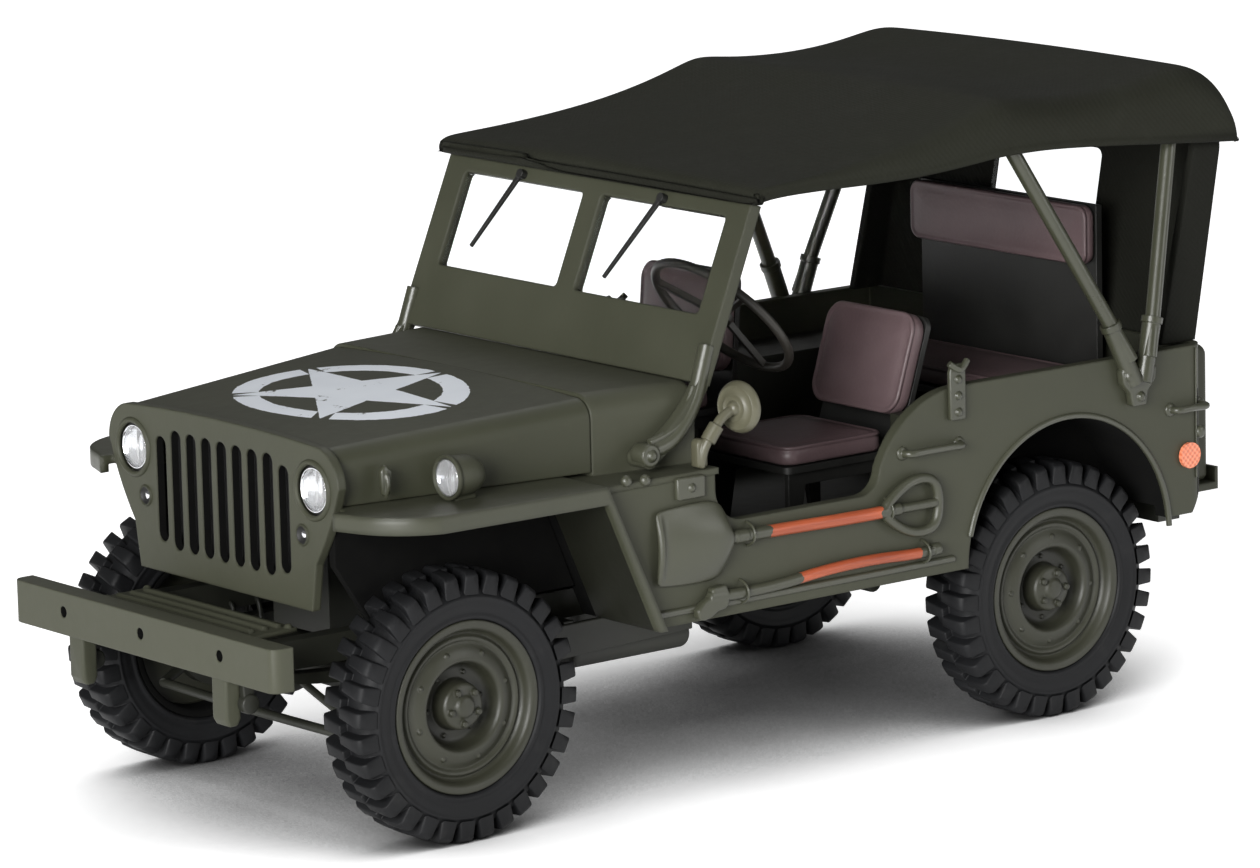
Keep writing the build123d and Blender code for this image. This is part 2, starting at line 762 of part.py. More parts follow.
# engine sump, gearbox and transfer box in one moulding below the members
sump_front_x = front_x - 2.9
sump_rear_x = front_x - 12.0
sump_width = 4.6
sump_z = 8.2
gearbox_width = 4.0
gearbox_z = 8.9
transfer_x = front_x - 19.0
transfer_length = 4.4
transfer_width = 7.0
transfer_y = -1.4
transfer_z = 8.3
block_x = front_x - 4.4
block_length = 11.0
block_width = 6.0
block_height = 6.0
moulding_corner = 0.8
power_top_z = rail_z - gap
with BuildPart() as power_unit:
    with BuildSketch(level(sump_z)):
        with Locations(((sump_front_x + sump_rear_x) / 2, 0)):
            RectangleRounded(sump_front_x - sump_rear_x, sump_width, moulding_corner)
    extrude(amount=power_top_z - sump_z)
    with BuildSketch(side(gearbox_width / 2)):
        with BuildLine():
            Polyline(
                (sump_rear_x, gearbox_z),
                (sump_rear_x, power_top_z),
                (transfer_x, power_top_z),
                (transfer_x, gearbox_z + 0.5),
                close=True,
            )
        make_face()
    extrude(amount=gearbox_width)
    with BuildSketch(level(transfer_z)):
        with Locations((transfer_x + 0.2 - transfer_length / 2, transfer_y)):
            RectangleRounded(transfer_length, transfer_width, moulding_corner)
    extrude(amount=power_top_z - transfer_z)
    # engine block above the sump, between the rails
    with BuildSketch(level(power_top_z)):
        with Locations((block_x, 0)):
            Rectangle(block_length, block_width)
    extrude(amount=block_height)
save(power_unit.part, "power_unit")

shaft_radius = 0.42
shaft_y = differential_y
shaft_z = transfer_z + 1.0  # shafts' height at the transfer box
joint_step = 0.3            # universal joints thicker than the shaft
joint_length = 0.8
with BuildPart() as drive_shafts:
    shaft_runs = (
        # x and z of both ends
        (front_x - differential_radius - gap, axle_z + 0.1, transfer_x + 0.2 + gap, shaft_z),
        (transfer_x + 0.2 - transfer_length - gap, shaft_z, rear_x + differential_radius + gap, axle_z + 0.1),
    )
    for x1, z1, x2, z2 in shaft_runs:
        run = Plane(origin=(x1, shaft_y, z1), z_dir=(x2 - x1, 0, z2 - z1))
        with BuildSketch(run):
            Circle(shaft_radius)
        extrude(amount=hypot(x2 - x1, z2 - z1))
        for joint_at in (joint_length / 2, hypot(x2 - x1, z2 - z1) - 1.5 * joint_length):
            with BuildSketch(run.offset(joint_at)):
                Circle(shaft_radius + joint_step)
            extrude(amount=joint_length)
save(drive_shafts.part, "drive_shafts")

muffler_radius = 1.0
muffler_length = 9.4
muffler_x = front_x - 20.6
muffler_z = rail_z - 1.8
hanger_width = 1.0
hanger_top_z = rail_z + 0.8
muffler_y = rail_y + rail_width / 2 + gap + hanger_width + 0.44
with BuildPart() as muffler:
    with BuildSketch(cross(muffler_x)):
        with Locations((muffler_y, muffler_z)):
            Circle(muffler_radius)
    extrude(amount=muffler_length)
    fillet(muffler.edges().filter_by(GeomType.CIRCLE), muffler_radius / 2)
    # hanger up to the rail's outer side
    with BuildSketch(cross(muffler_x + 0.45 * muffler_length)):
        with Locations((rail_y + rail_width / 2 + gap + hanger_width / 2, (muffler_z + 0.4 + hanger_top_z) / 2)):
            Rectangle(hanger_width, hanger_top_z - muffler_z - 0.4)
    extrude(amount=hanger_width)
save(muffler.part, "muffler")

# hook: a block on the rear member with a curl that opens to the right
hook_x = tail_member_x - member_width / 2 - gap
hook_block = 1.0
hook_reach = 2.1
hook_tip_y = -1.1
hook_height = 0.9
with BuildPart() as tow_hook:
    with BuildSketch(level(rail_z + 2 * gap)):
        with BuildLine():
            Polyline(
                (hook_x, -hook_block / 2),
                (hook_x, hook_block / 2),
                (hook_x - hook_block, hook_block / 2),
            )
            ThreePointArc(
                (hook_x - hook_block, hook_block / 2),
                (hook_x - hook_reach, 0.32 * hook_tip_y),
                (hook_x - 0.71 * hook_reach, hook_tip_y),
            )
            Line((hook_x - 0.71 * hook_reach, hook_tip_y), (hook_x - 0.55 * hook_reach, 0.55 * hook_tip_y))
            ThreePointArc(
                (hook_x - 0.55 * hook_reach, 0.55 * hook_tip_y),
                (hook_x - 0.69 * hook_reach, 0.27 * hook_tip_y),
                (hook_x - hook_block, 0.1 * hook_tip_y),
            )
            Line((hook_x - hook_block, 0.1 * hook_tip_y), (hook_x - 0.4 * hook_block, -hook_block / 2))
            Line((hook_x - 0.4 * hook_block, -hook_block / 2), (hook_x, -hook_block / 2))
        make_face()
    extrude(amount=hook_height)
save(tow_hook.part, "tow_hook")

# ------------------------------------------------------------------------- windshield
# The frame lies in a raked plane: across it runs y, up it runs the slope.
foot_plane = Plane(
    origin=(windshield_x, 0, frame_foot_z), x_dir=(0, 1, 0), z_dir=(cos(lean), 0, sin(lean))
)
arm_root = 1.6              # up the frame's slope
pivot_radius = 0.6
pivot_step = 0.15           # pivot's head outside the arm
pane_corner = 0.35
arm_inner_y = cowl_rear_half_width + 3 * gap
arm_width = frame_foot_half_width - arm_inner_y
pivot_x = cowl_x - 2.9
pivot_z = shoulder_z + deck + 0.9


def on_frame(v, n):
    """x and z of a point v up the frame's slope and n ahead of its face."""
    return (
        windshield_x - v * sin(lean) + n * cos(lean),
        frame_foot_z + v * cos(lean) + n * sin(lean),
    )


with BuildPart() as windshield_frame:
    with BuildSketch(foot_plane):
        with BuildLine():
            Polyline(
                (-frame_foot_half_width, 0),
                (frame_foot_half_width, 0),
                (frame_top_half_width, frame_height),
                (-frame_top_half_width, frame_height),
                close=True,
            )
        make_face()
        pane_width = pane_half_width - mullion / 2
        for _, s in SIDES:
            with Locations((s * (pane_half_width + mullion / 2) / 2, (pane_bottom + pane_top) / 2)):
                RectangleRounded(pane_width, pane_top - pane_bottom, pane_corner, mode=Mode.SUBTRACT)
    extrude(amount=-frame_depth)
    for _, s in SIDES:
        # curved arm from the frame's corner down to its pivot on the cowl's side
        with BuildSketch(side(s * frame_foot_half_width)):
            with BuildLine():
                high_back, high_front = on_frame(arm_root, -frame_depth), on_frame(arm_root, 0)
                low_back = (pivot_x - pivot_radius / 2, pivot_z - 0.9 * pivot_radius)
                low_front = (pivot_x + pivot_radius / 2, pivot_z + 0.9 * pivot_radius)
                ThreePointArc(high_back, (windshield_x + 0.9, cowl_z - 2.3), low_back)
                Line(low_back, low_front)
                ThreePointArc(low_front, (windshield_x + 1.6, cowl_z - 1.6), high_front)
                Line(high_front, high_back)
            make_face()
        extrude(amount=s * arm_width)
        with BuildSketch(side(s * (frame_foot_half_width + pivot_step))):
            with Locations((pivot_x, pivot_z)):
                Circle(pivot_radius)
        extrude(amount=s * (frame_foot_half_width + pivot_step - cowl_side_y(pivot_x) - 2 * gap))
save(windshield_frame.part, "windshield_frame")

with BuildPart() as windshield_glass:
    with BuildSketch(foot_plane.offset(-frame_depth / 2 - glass / 2)):
        for _, s in SIDES:
            with Locations((s * (pane_half_width + mullion / 2) / 2, (pane_bottom + pane_top) / 2)):
                RectangleRounded(pane_width - 2 * gap, pane_top - pane_bottom - 2 * gap, pane_corner - gap)
    extrude(amount=glass)
save(windshield_glass.part, "windshield_glass")

# each wiper hangs from above its pane: pivot, tip, across and up the slope
wiper_table = (
    # pivot_y, pivot_v, tip_y, tip_v
    (-7.3, 10.9, -10.2, 5.7),
    (7.2, 10.9, 3.9, 5.3),
)
wiper_root = 0.18           # half width of an arm at its pivot and at its tip
wiper_tip = 0.1
wiper_hub = 0.3
wiper_stand_off = 0.2
wiper_depth = 0.2
with BuildPart() as wipers:
    for pivot_y, pivot_v, tip_y, tip_v in wiper_table:
        along = atan2(tip_v - pivot_v, tip_y - pivot_y)
        across_y, across_v = -sin(along), cos(along)
        with BuildSketch(foot_plane.offset(wiper_stand_off)):
            with BuildLine():
                Polyline(
                    (pivot_y + wiper_root * across_y, pivot_v + wiper_root * across_v),
                    (tip_y + wiper_tip * across_y, tip_v + wiper_tip * across_v),
                    (tip_y - wiper_tip * across_y, tip_v - wiper_tip * across_v),
                    (pivot_y - wiper_root * across_y, pivot_v - wiper_root * across_v),
                    close=True,
                )
            make_face()
        extrude(amount=wiper_depth)
        with BuildSketch(foot_plane.offset(0.01)):
            with Locations((pivot_y, pivot_v)):
                Circle(wiper_hub)
        extrude(amount=wiper_stand_off + wiper_depth + gap)
save(wipers.part, "wipers")

# --------------------------------------------------------------------------- soft top
# Roof moulded in one with its side bands: sagging between the bows, a turned-down
# edge all round, open below.
front_sag = 0.45            # dips of the roof ahead of and behind the front bow
rear_sag = 0.55
rear_turn = 2.4             # run of the turn over the rear bow
rear_drop = 2.6
roof_front_x = windshield_x - frame_height * sin(lean) - gap
front_bow_x = front_x - front_bow_back
roof_rear_x = tail_x - canvas_overhang
rear_bow_x = tail_x + 0.5


def roof_profile(inset, bottom):
    """Roof in side view, thinner by inset all round, with its lower edge at bottom."""
    x1, x2, x3, x4 = roof_front_x - inset, front_bow_x, rear_bow_x, roof_rear_x + inset
    z1, z2, z3 = canvas_front_z - inset, front_bow_z - inset, rear_bow_z - inset
    with BuildSketch(side(canvas_half_width - inset)) as profile:
        with BuildLine():
            Line((x1, bottom), (x1, z1))
            ThreePointArc((x1, z1), ((x1 + x2) / 2, (z1 + z2) / 2 - front_sag), (x2, z2))
            ThreePointArc((x2, z2), ((x2 + x3) / 2, (z2 + z3) / 2 - rear_sag), (x3, z3))
            ThreePointArc((x3, z3), (x3 - rear_turn, z3 - 0.29 * rear_drop), (x4, z3 - rear_drop))
            Line((x4, z3 - rear_drop), (x4, bottom))
            Line((x4, bottom), (x1, bottom))
        make_face()
    return profile.sketch


with BuildPart() as soft_top:
    extrude(roof_profile(0, band_z), amount=2 * canvas_half_width)
    top_edges = soft_top.edges().group_by(Axis.Y)
    long_edges = [
        e
        for e in top_edges[0] + top_edges[-1]
        if e.center().Z > band_z + 1.5 and abs(e.tangent_at(0.5).X) > 0.3
    ]
    fillet(long_edges, canvas_edge)
    with BuildPart(mode=Mode.PRIVATE) as cavity:
        extrude(roof_profile(sheet, band_z - 1), amount=2 * (canvas_half_width - sheet))
        cavity_edges = cavity.edges().group_by(Axis.Y)
        fillet(
            [
                e
                for e in cavity_edges[0] + cavity_edges[-1]
                if e.center().Z > band_z + 1.0 and abs(e.tangent_at(0.5).X) > 0.3
            ],
            canvas_edge - sheet,
        )
    add(cavity.part, mode=Mode.SUBTRACT)
save(soft_top.part, "soft_top")

# rear curtain: hangs from the roof's rear edge to the tub, with wings round the sides
curtain_top_z = band_z + 0.9
curtain_foot_z = tub_top_z + gap
curtain_half_width = canvas_half_width - sheet - gap
curtain_edge = canvas_edge
curtain_top_x = roof_rear_x + sheet + gap
curtain_slope = (tail_x - curtain_top_x) / (curtain_top_z - curtain_foot_z)
wing_top = 2.2              # width of the curtain's side wings
wing_foot = 3.0
window_corner = 0.6
window_sheet = 0.4
curtain_lean = Plane(
    origin=(tail_x, 0, curtain_foot_z),
    x_dir=(0, 1, 0),
    z_dir=(1, 0, curtain_slope),
)
with BuildPart() as rear_curtain:
    with BuildSketch(side(curtain_half_width)):
        with BuildLine():
            Polyline(
                (tail_x, curtain_foot_z),
                (curtain_top_x, curtain_top_z),
                (curtain_top_x + wing_top, curtain_top_z),
                (tail_x + wing_foot, curtain_foot_z),
                close=True,
            )
        make_face()
    extrude(amount=2 * curtain_half_width)
    curtain_ends = rear_curtain.edges().group_by(Axis.Y)
    fillet([end.sort_by(Axis.X)[0] for end in (curtain_ends[0], curtain_ends[-1])], curtain_edge)
    with BuildSketch(side(curtain_half_width - sheet)):
        with BuildLine():
            Polyline(
                (tail_x + sheet, curtain_foot_z),
                (curtain_top_x + sheet, curtain_top_z),
                (curtain_top_x + wing_top + 1, curtain_top_z),
                (tail_x + wing_foot + 1, curtain_foot_z),
                close=True,
            )
        make_face()
    extrude(amount=2 * (curtain_half_width - sheet), mode=Mode.SUBTRACT)
    with BuildSketch(cross(curtain_top_x - sheet)):
        with Locations((0, (rear_window_low_z + rear_window_high_z) / 2)):
            RectangleRounded(2 * rear_window_half_width, rear_window_high_z - rear_window_low_z, window_corner)
    extrude(amount=tail_x - curtain_top_x + 3 * sheet, mode=Mode.SUBTRACT)
save(rear_curtain.part, "rear_curtain")

with BuildPart() as rear_window:
    window_lean = curtain_lean.offset(sheet / 2 / hypot(1, curtain_slope) + gap)
    with BuildSketch(window_lean):
        rise = hypot(1, curtain_slope)
        with Locations((0, ((rear_window_low_z + rear_window_high_z) / 2 - curtain_foot_z) * rise)):
            RectangleRounded(
                2 * rear_window_half_width - 2 * gap,
                (rear_window_high_z - rear_window_low_z) * rise - 6 * gap,
                window_corner - gap,
            )
    extrude(amount=window_sheet / 2, both=True)
save(rear_window.part, "rear_window")

# bows: tubes that rise from a bracket on each side of the tub and cross under the roof
bow_room = 0.8              # between a bow and the roof's side band
bow_inner_y = canvas_half_width - sheet - bow_radius - bow_room
bow_bend = 2.2
bow_start_z = bow_foot_z + 1.5
front_bow_foot = 4.7        # bows' feet behind the rear axle
rear_bow_foot = 6.3
bow_drop = sheet + bow_radius + 0.12    # bow's middle line below the roof
bow_table = (
    # name, foot_x, top_x, top_z
    ("front_top_bow", rear_x - front_bow_foot, front_bow_x, front_bow_z - bow_drop),
    ("rear_top_bow", rear_x - rear_bow_foot, rear_bow_x, rear_bow_z - bow_drop),
)
for name, foot, top_x, top_z in bow_table:
    with BuildPart() as bow:
        with BuildLine():
            FilletPolyline(
                (foot, bow_foot_y, bow_start_z),
                (top_x, bow_inner_y, top_z),
                (top_x, -bow_inner_y, top_z),
                (foot, -bow_foot_y, bow_start_z),
                radius=bow_bend,
            )
        start = Plane(
            origin=(foot, bow_foot_y, bow_start_z),
            z_dir=(top_x - foot, bow_inner_y - bow_foot_y, top_z - bow_start_z),
        )
        with BuildSketch(start):
            Circle(bow_radius)
        sweep()
    save(bow.part, name)

# bracket on the tub's side that holds both bows' feet, and a rest for the folded bows
bracket_x = rear_x - (front_bow_foot + rear_bow_foot) / 2
bracket_half_width = 1.7
bracket_rise = 1.2
bracket_drop = 1.7
rest_x = rear_x + 10.0
rest_width = 1.1
rest_height = 3.8
rest_depth = 0.35
with BuildPart() as bow_bracket:
    with BuildSketch(side(bow_foot_y + bow_radius)):
        with BuildLine():
            Polyline(
                (bracket_x + bracket_half_width, bow_foot_z + bracket_rise),
                (bracket_x - bracket_half_width, bow_foot_z + bracket_rise),
                (bracket_x - bracket_half_width / 2, bow_foot_z - bracket_drop),
                (bracket_x + bracket_half_width / 2, bow_foot_z - bracket_drop),
                close=True,
            )
        make_face()
    extrude(amount=bow_foot_y + bow_radius - tub_half_width - gap)
    with BuildSketch(side(tub_half_width + gap + rest_depth)):
        with Locations((rest_x, tub_top_z - 4 * gap)):
            RectangleRounded(rest_width, rest_height, 0.27 * rest_width)
    extrude(amount=rest_depth)
save(both_sides(bow_bracket.part), "bow_brackets")

# --------------------------------------------------------------------------- controls
dash_depth = 0.7
dash_top_z = cowl_z - panel - gap
dash_bottom_z = shoulder_z + 1.0
dash_half_width = cowl_side_y(door_front_x + dash_depth) - panel * hypot(1, cowl_flare) - 4 * gap
with BuildPart() as dashboard:
    with BuildSketch(cross(door_front_x)):
        with Locations((0, (dash_top_z + dash_bottom_z) / 2)):
            RectangleRounded(2 * dash_half_width, dash_top_z - dash_bottom_z, 0.5)
    extrude(amount=dash_depth)
save(dashboard.part, "dashboard")

tilt = radians(steering_tilt)
steering_x = front_x - steering_back
wheel_plane = Plane(
    origin=(steering_x, steering_y, steering_z), x_dir=(0, 1, 0), z_dir=(-cos(tilt), 0, sin(tilt))
)
rim_line_radius = steering_radius - steering_rim
hub_radius = 0.75
hub_thickness = 0.4
spoke_width = 0.35
column_radius = 0.36
column_gap = 0.5            # the column's end ahead of the sloped wall's inner face
column_reach = (wall_x(steering_z) - wall_run - steering_x) / (cos(tilt) + wall_slope * sin(tilt))
column_length = column_reach - column_gap
with BuildPart() as steering_wheel:
    with BuildSketch(side(steering_y)):
        with Locations((steering_x + rim_line_radius * sin(tilt), steering_z + rim_line_radius * cos(tilt))):
            Circle(steering_rim)
    revolve(axis=Axis((steering_x, steering_y, steering_z), (-cos(tilt), 0, sin(tilt))))
    with BuildSketch(wheel_plane.offset(-hub_thickness / 2)):
        Circle(hub_radius)
        with PolarLocations(rim_line_radius / 2, 3, start_angle=90):
            Rectangle(rim_line_radius, spoke_width)
    extrude(amount=hub_thickness)
save(steering_wheel.part, "steering_wheel")

with BuildPart() as steering_column:
    with BuildSketch(wheel_plane.offset(-hub_thickness / 2 - gap)):
        Circle(column_radius)
    extrude(amount=-column_length)
save(steering_column.part, "steering_column")

lever_radius = 0.2
knob_radius = 0.42
knob_height = 0.7
gear_lever_x = front_x - passenger_seat_back + seat_depth + 2.0
range_lever_x = front_x - passenger_seat_back + seat_depth + 0.7
lever_table = (
    # x, y, height of the knob's foot above the floor
    (gear_lever_x, 0.6, 7.0),
    (range_lever_x, -1.4, 4.6),
    (range_lever_x, -2.8, 4.6),
)
with BuildPart() as levers:
    for lever_x, lever_y, lever_height in lever_table:
        with BuildSketch(level(floor_z + gap)):
            with Locations((lever_x, lever_y)):
                Circle(lever_radius)
        extrude(amount=lever_height)
        with BuildSketch(level(floor_z + lever_height)):
            with Locations((lever_x, lever_y)):
                Circle(knob_radius)
        extrude(amount=knob_height)
save(levers.part, "levers")

# ------------------------------------------------------------------------------ seats
seat_table = (
    # name, side, seat back behind the front axle, cushion's top, lean of the back
    ("driver", 1, driver_seat_back, driver_cushion_z, driver_lean),
    ("passenger", -1, passenger_seat_back, passenger_cushion_z, passenger_lean),
)
pan = 0.45
frame_inset_y = 0.15        # frame's edges inside the pads'
leg_sheet = 0.4
leg_drop = 0.9              # arch of the side panels below the pan
leg_foot = 0.8              # width of their feet
leg_flare = 0.6
pad_corner = 1.0
pad_edge = 0.4
back_foot = 0.6             # back pad's foot above the cushion's top
back_root = 1.8             # back sheet's foot below the cushion's top
pan_inset = 0.3             # pan's front edge behind the cushion's
pan_reach = 1.0             # pan's rear edge behind the foot of the back
for name, s, back, top, lean_angle in seat_table:
    seat_x = front_x - back
    seat_y = s * front_seat_y
    pan_z = top - cushion_thickness - seat_gap
    leg_rear_x = seat_x + 0.2
    leg_front_x = seat_x + seat_depth - leg_foot
    back_plane = Plane(
        origin=(seat_x, seat_y, top + 0.15),
        x_dir=(0, 1, 0),
        z_dir=(cos(radians(lean_angle)), 0, sin(radians(lean_angle))),
    )
    with BuildPart() as seat_frame:
        with BuildSketch(level(pan_z - pan)):
            with Locations((seat_x + (seat_depth - pan_inset - pan_reach) / 2, seat_y)):
                RectangleRounded(seat_depth - pan_inset + pan_reach, front_seat_width - 2 * frame_inset_y, pad_corner / 2)
        extrude(amount=pan)
        # side panels down to the floor
        for edge in (-1, 1):
            with BuildSketch(side(seat_y + edge * (front_seat_width / 2 - leg_foot) + leg_sheet / 2)):
                with BuildLine():
                    Polyline(
                        (leg_rear_x, floor_z + gap),
                        (leg_rear_x + leg_foot, floor_z + gap),
                        (leg_rear_x + leg_foot + leg_flare, pan_z - pan - leg_drop),
                        (leg_front_x - leg_foot - leg_flare, pan_z - pan - leg_drop),
                        (leg_front_x - leg_foot, floor_z + gap),
                        (leg_front_x, floor_z + gap),
                        (leg_front_x, pan_z - pan),
                        (leg_rear_x, pan_z - pan),
                        close=True,
                    )
                make_face()
            extrude(amount=leg_sheet)
        # sheet behind the back pad, joined to the pan
        with BuildSketch(back_plane.offset(-back_pad / 2 - seat_gap)):
            with Locations((0, (back_height - back_root) / 2)):
                RectangleRounded(front_seat_width - 2 * frame_inset_y, back_height + back_root, 0.8 * pad_corner)
        extrude(amount=-leg_sheet)
    save(seat_frame.part, f"{name}_seat_frame")

    with BuildPart() as seat_pads:
        with BuildSketch(level(top - cushion_thickness)):
            with Locations((seat_x + seat_depth / 2 + 0.4, seat_y)):
                RectangleRounded(seat_depth - 1.2, front_seat_width, pad_corner)
        extrude(amount=cushion_thickness)
        fillet(seat_pads.faces().sort_by(Axis.Z)[-1].edges(), pad_edge)
        with BuildSketch(back_plane.offset(-back_pad / 2)):
            with Locations((0, (back_height + back_foot) / 2)):
                RectangleRounded(front_seat_width, back_height - back_foot, 1.2 * pad_corner)
        extrude(amount=back_pad)
    save(seat_pads.part, f"{name}_seat_pads")

rear_seat_x = rear_x - 2.2  # front edge of the rear seat
rear_cushion_depth = 7.0
rear_cushion_width = 2 * (box_inner_y - 3 * seat_gap)
rear_pan_z = rear_cushion_z - cushion_thickness - seat_gap
rear_back_x = tail_x + 1.8
rear_back_sheet = 0.5
rear_leg_y = 7.5
rear_leg_front_x = rear_seat_x - leg_sheet
rear_leg_rear_x = rear_seat_x - rear_cushion_depth + leg_sheet
with BuildPart() as rear_seat_frame:
    with BuildSketch(level(rear_pan_z - pan)):
        with Locations((rear_seat_x - rear_cushion_depth / 2, 0)):
            Rectangle(rear_cushion_depth, rear_cushion_width - 4 * seat_gap)
    extrude(amount=pan)
    for _, s in SIDES:
        with BuildSketch(side(s * rear_leg_y + leg_sheet / 2)):
            with BuildLine():
                Polyline(
                    (rear_leg_front_x, rear_pan_z - pan),
                    (rear_leg_front_x, floor_z + gap),
                    (rear_leg_front_x - leg_foot, floor_z + gap),
                    (rear_leg_front_x - leg_foot - leg_flare, rear_pan_z - pan - leg_drop),
                    (rear_leg_rear_x + leg_foot + leg_flare, rear_pan_z - pan - leg_drop),
                    (rear_leg_rear_x + leg_foot, floor_z + gap),
                    (rear_leg_rear_x, floor_z + gap),
                    (rear_leg_rear_x, rear_pan_z - pan),
                    close=True,
                )
            make_face()
        extrude(amount=leg_sheet)
    with BuildSketch(cross(rear_back_x)):
        with BuildLine():
            Polyline(
                (-rear_back_half_width, rear_pan_z - pan),
                (rear_back_half_width, rear_pan_z - pan),
                (rear_back_half_width, rear_back_z),
                (-rear_back_half_width, rear_back_z),
                close=True,
            )
        make_face()
    extrude(amount=rear_back_sheet)
    with BuildSketch(level(rear_pan_z - pan)):
        with Locations(((rear_back_x + rear_seat_x - rear_cushion_depth) / 2 + seat_gap, 0)):
            Rectangle(rear_seat_x - rear_cushion_depth - rear_back_x + 2 * seat_gap, 2 * rear_back_half_width)
    extrude(amount=pan)
save(rear_seat_frame.part, "rear_seat_frame")

rear_pad_height = 3.9
rear_pad = 1.0
with BuildPart() as rear_seat_pads:
    with BuildSketch(level(rear_cushion_z - cushion_thickness)):
        with Locations((rear_seat_x - rear_cushion_depth / 2, 0)):
            RectangleRounded(rear_cushion_depth - 2 * seat_gap, rear_cushion_width, 0.8 * pad_corner)
    extrude(amount=cushion_thickness)
    fillet(rear_seat_pads.faces().sort_by(Axis.Z)[-1].edges(), pad_edge)
    with BuildSketch(cross(rear_back_x + rear_back_sheet + seat_gap)):
        with Locations((0, rear_back_z - rear_pad_height / 2)):
            RectangleRounded(2 * rear_back_half_width, rear_pad_height, 0.8 * pad_corner)
    extrude(amount=rear_pad)
save(rear_seat_pads.part, "rear_seat_pads")

# ------------------------------------------------------------------- tools and fittings
# Shovel and axe lie along the left sill, handles to the rear.
tool_y = tub_half_width + gap
shovel_z = 16.3
blade_front_x = foot_x
blade_length = 5.6
blade_half_width = 2.8
blade_point = 2.2           # length of the blade's rounded end
blade_taper = 0.4
blade_sheet = 0.45
handle_radius = 0.42
grip_length = 3.4
grip_width = 3.3
grip_opening = 1.5
grip_bar = 0.55             # bar between the grip's two openings
shovel_rear_x = front_x - 36.2
with BuildPart() as shovel:
    with BuildSketch(side(tool_y + blade_sheet)):
        with BuildLine():
            Line(
                (blade_front_x - blade_length, shovel_z - blade_half_width + blade_taper),
                (blade_front_x - blade_length, shovel_z + blade_half_width - blade_taper),
            )
            Line(
                (blade_front_x - blade_length, shovel_z + blade_half_width - blade_taper),
                (blade_front_x - blade_point, shovel_z + blade_half_width),
            )
            ThreePointArc(
                (blade_front_x - blade_point, shovel_z + blade_half_width),
                (blade_front_x, shovel_z),
                (blade_front_x - blade_point, shovel_z - blade_half_width),
            )
            Line(
                (blade_front_x - blade_point, shovel_z - blade_half_width),
                (blade_front_x - blade_length, shovel_z - blade_half_width + blade_taper),
            )
        make_face()
        # D-shaped grip with a bar across
        with Locations((shovel_rear_x + grip_length / 2, shovel_z)):
            Trapezoid(grip_width, grip_length, 78, rotation=90)
        opening_height = (grip_width - 1.55 * grip_bar) / 2 - grip_bar * 0.8
        opening_x = shovel_rear_x + grip_bar + grip_opening / 2
        opening_y = (opening_height + grip_bar) / 2
        with Locations((opening_x, shovel_z + opening_y), (opening_x, shovel_z - opening_y)):
            RectangleRounded(grip_opening, opening_height, 0.3, mode=Mode.SUBTRACT)
    extrude(amount=blade_sheet)
    with BuildSketch(cross(shovel_rear_x + grip_length - 0.2)):
        with Locations((tool_y + handle_radius, shovel_z)):
            Circle(handle_radius)
    extrude(amount=blade_front_x - 2.4 - shovel_rear_x - grip_length)
save(shovel.part, "shovel")

axe_front_z = 12.6
axe_rear_z = 13.2
axe_front_x = front_x - 16.2
axe_rear_x = shovel_rear_x + 0.2
axe_radius = 0.38
axe_sheet = 0.8
axe_head = (
    # x behind the head's front, z from the handle
    (0.3, 0.8),
    (0.3, -1.0),
    (2.6, -1.2),
    (2.0, 0.7),
)
with BuildPart() as axe:
    handle = Plane(
        origin=(axe_rear_x, tool_y + axe_sheet / 2, axe_rear_z),
        z_dir=(axe_front_x - axe_rear_x, 0, axe_front_z - axe_rear_z),
    )
    with BuildSketch(handle):
        Circle(axe_radius)
    extrude(amount=axe_front_x - axe_rear_x)
    with BuildSketch(side(tool_y + axe_sheet)):
        with BuildLine():
            Polyline(*[(axe_front_x - back, axe_front_z + up) for back, up in axe_head], close=True)
        make_face()
    extrude(amount=axe_sheet)
save(axe.part, "axe")

# grab handles: a bar on two feet, one pair ahead of the wheel arch, one at each tail
handle_bar = 0.5            # height of the bar
handle_depth = 0.4
handle_stand_off = 0.45
handle_foot = 0.22
handle_end = 0.35
handle_table = (
    # rear end x, front end x, height
    (rear_x + 9.4, rear_x + 14.2, tub_top_z - 3.7),
    (tail_x + 0.4, tail_x + 3.5, tub_top_z - 4.0),
)
with BuildPart() as grab_handles:
    for x1, x2, bar_z in handle_table:
        with BuildSketch(side(tub_half_width + handle_stand_off + handle_depth)):
            with Locations(((x1 + x2) / 2, bar_z)):
                SlotOverall(x2 - x1, handle_bar)
        extrude(amount=handle_depth)
        with BuildSketch(side(tub_half_width + handle_stand_off + gap)):
            with Locations((x1 + handle_end, bar_z), (x2 - handle_end, bar_z)):
                Circle(handle_foot)
        extrude(amount=handle_stand_off)
save(both_sides(grab_handles.part), "grab_handles")

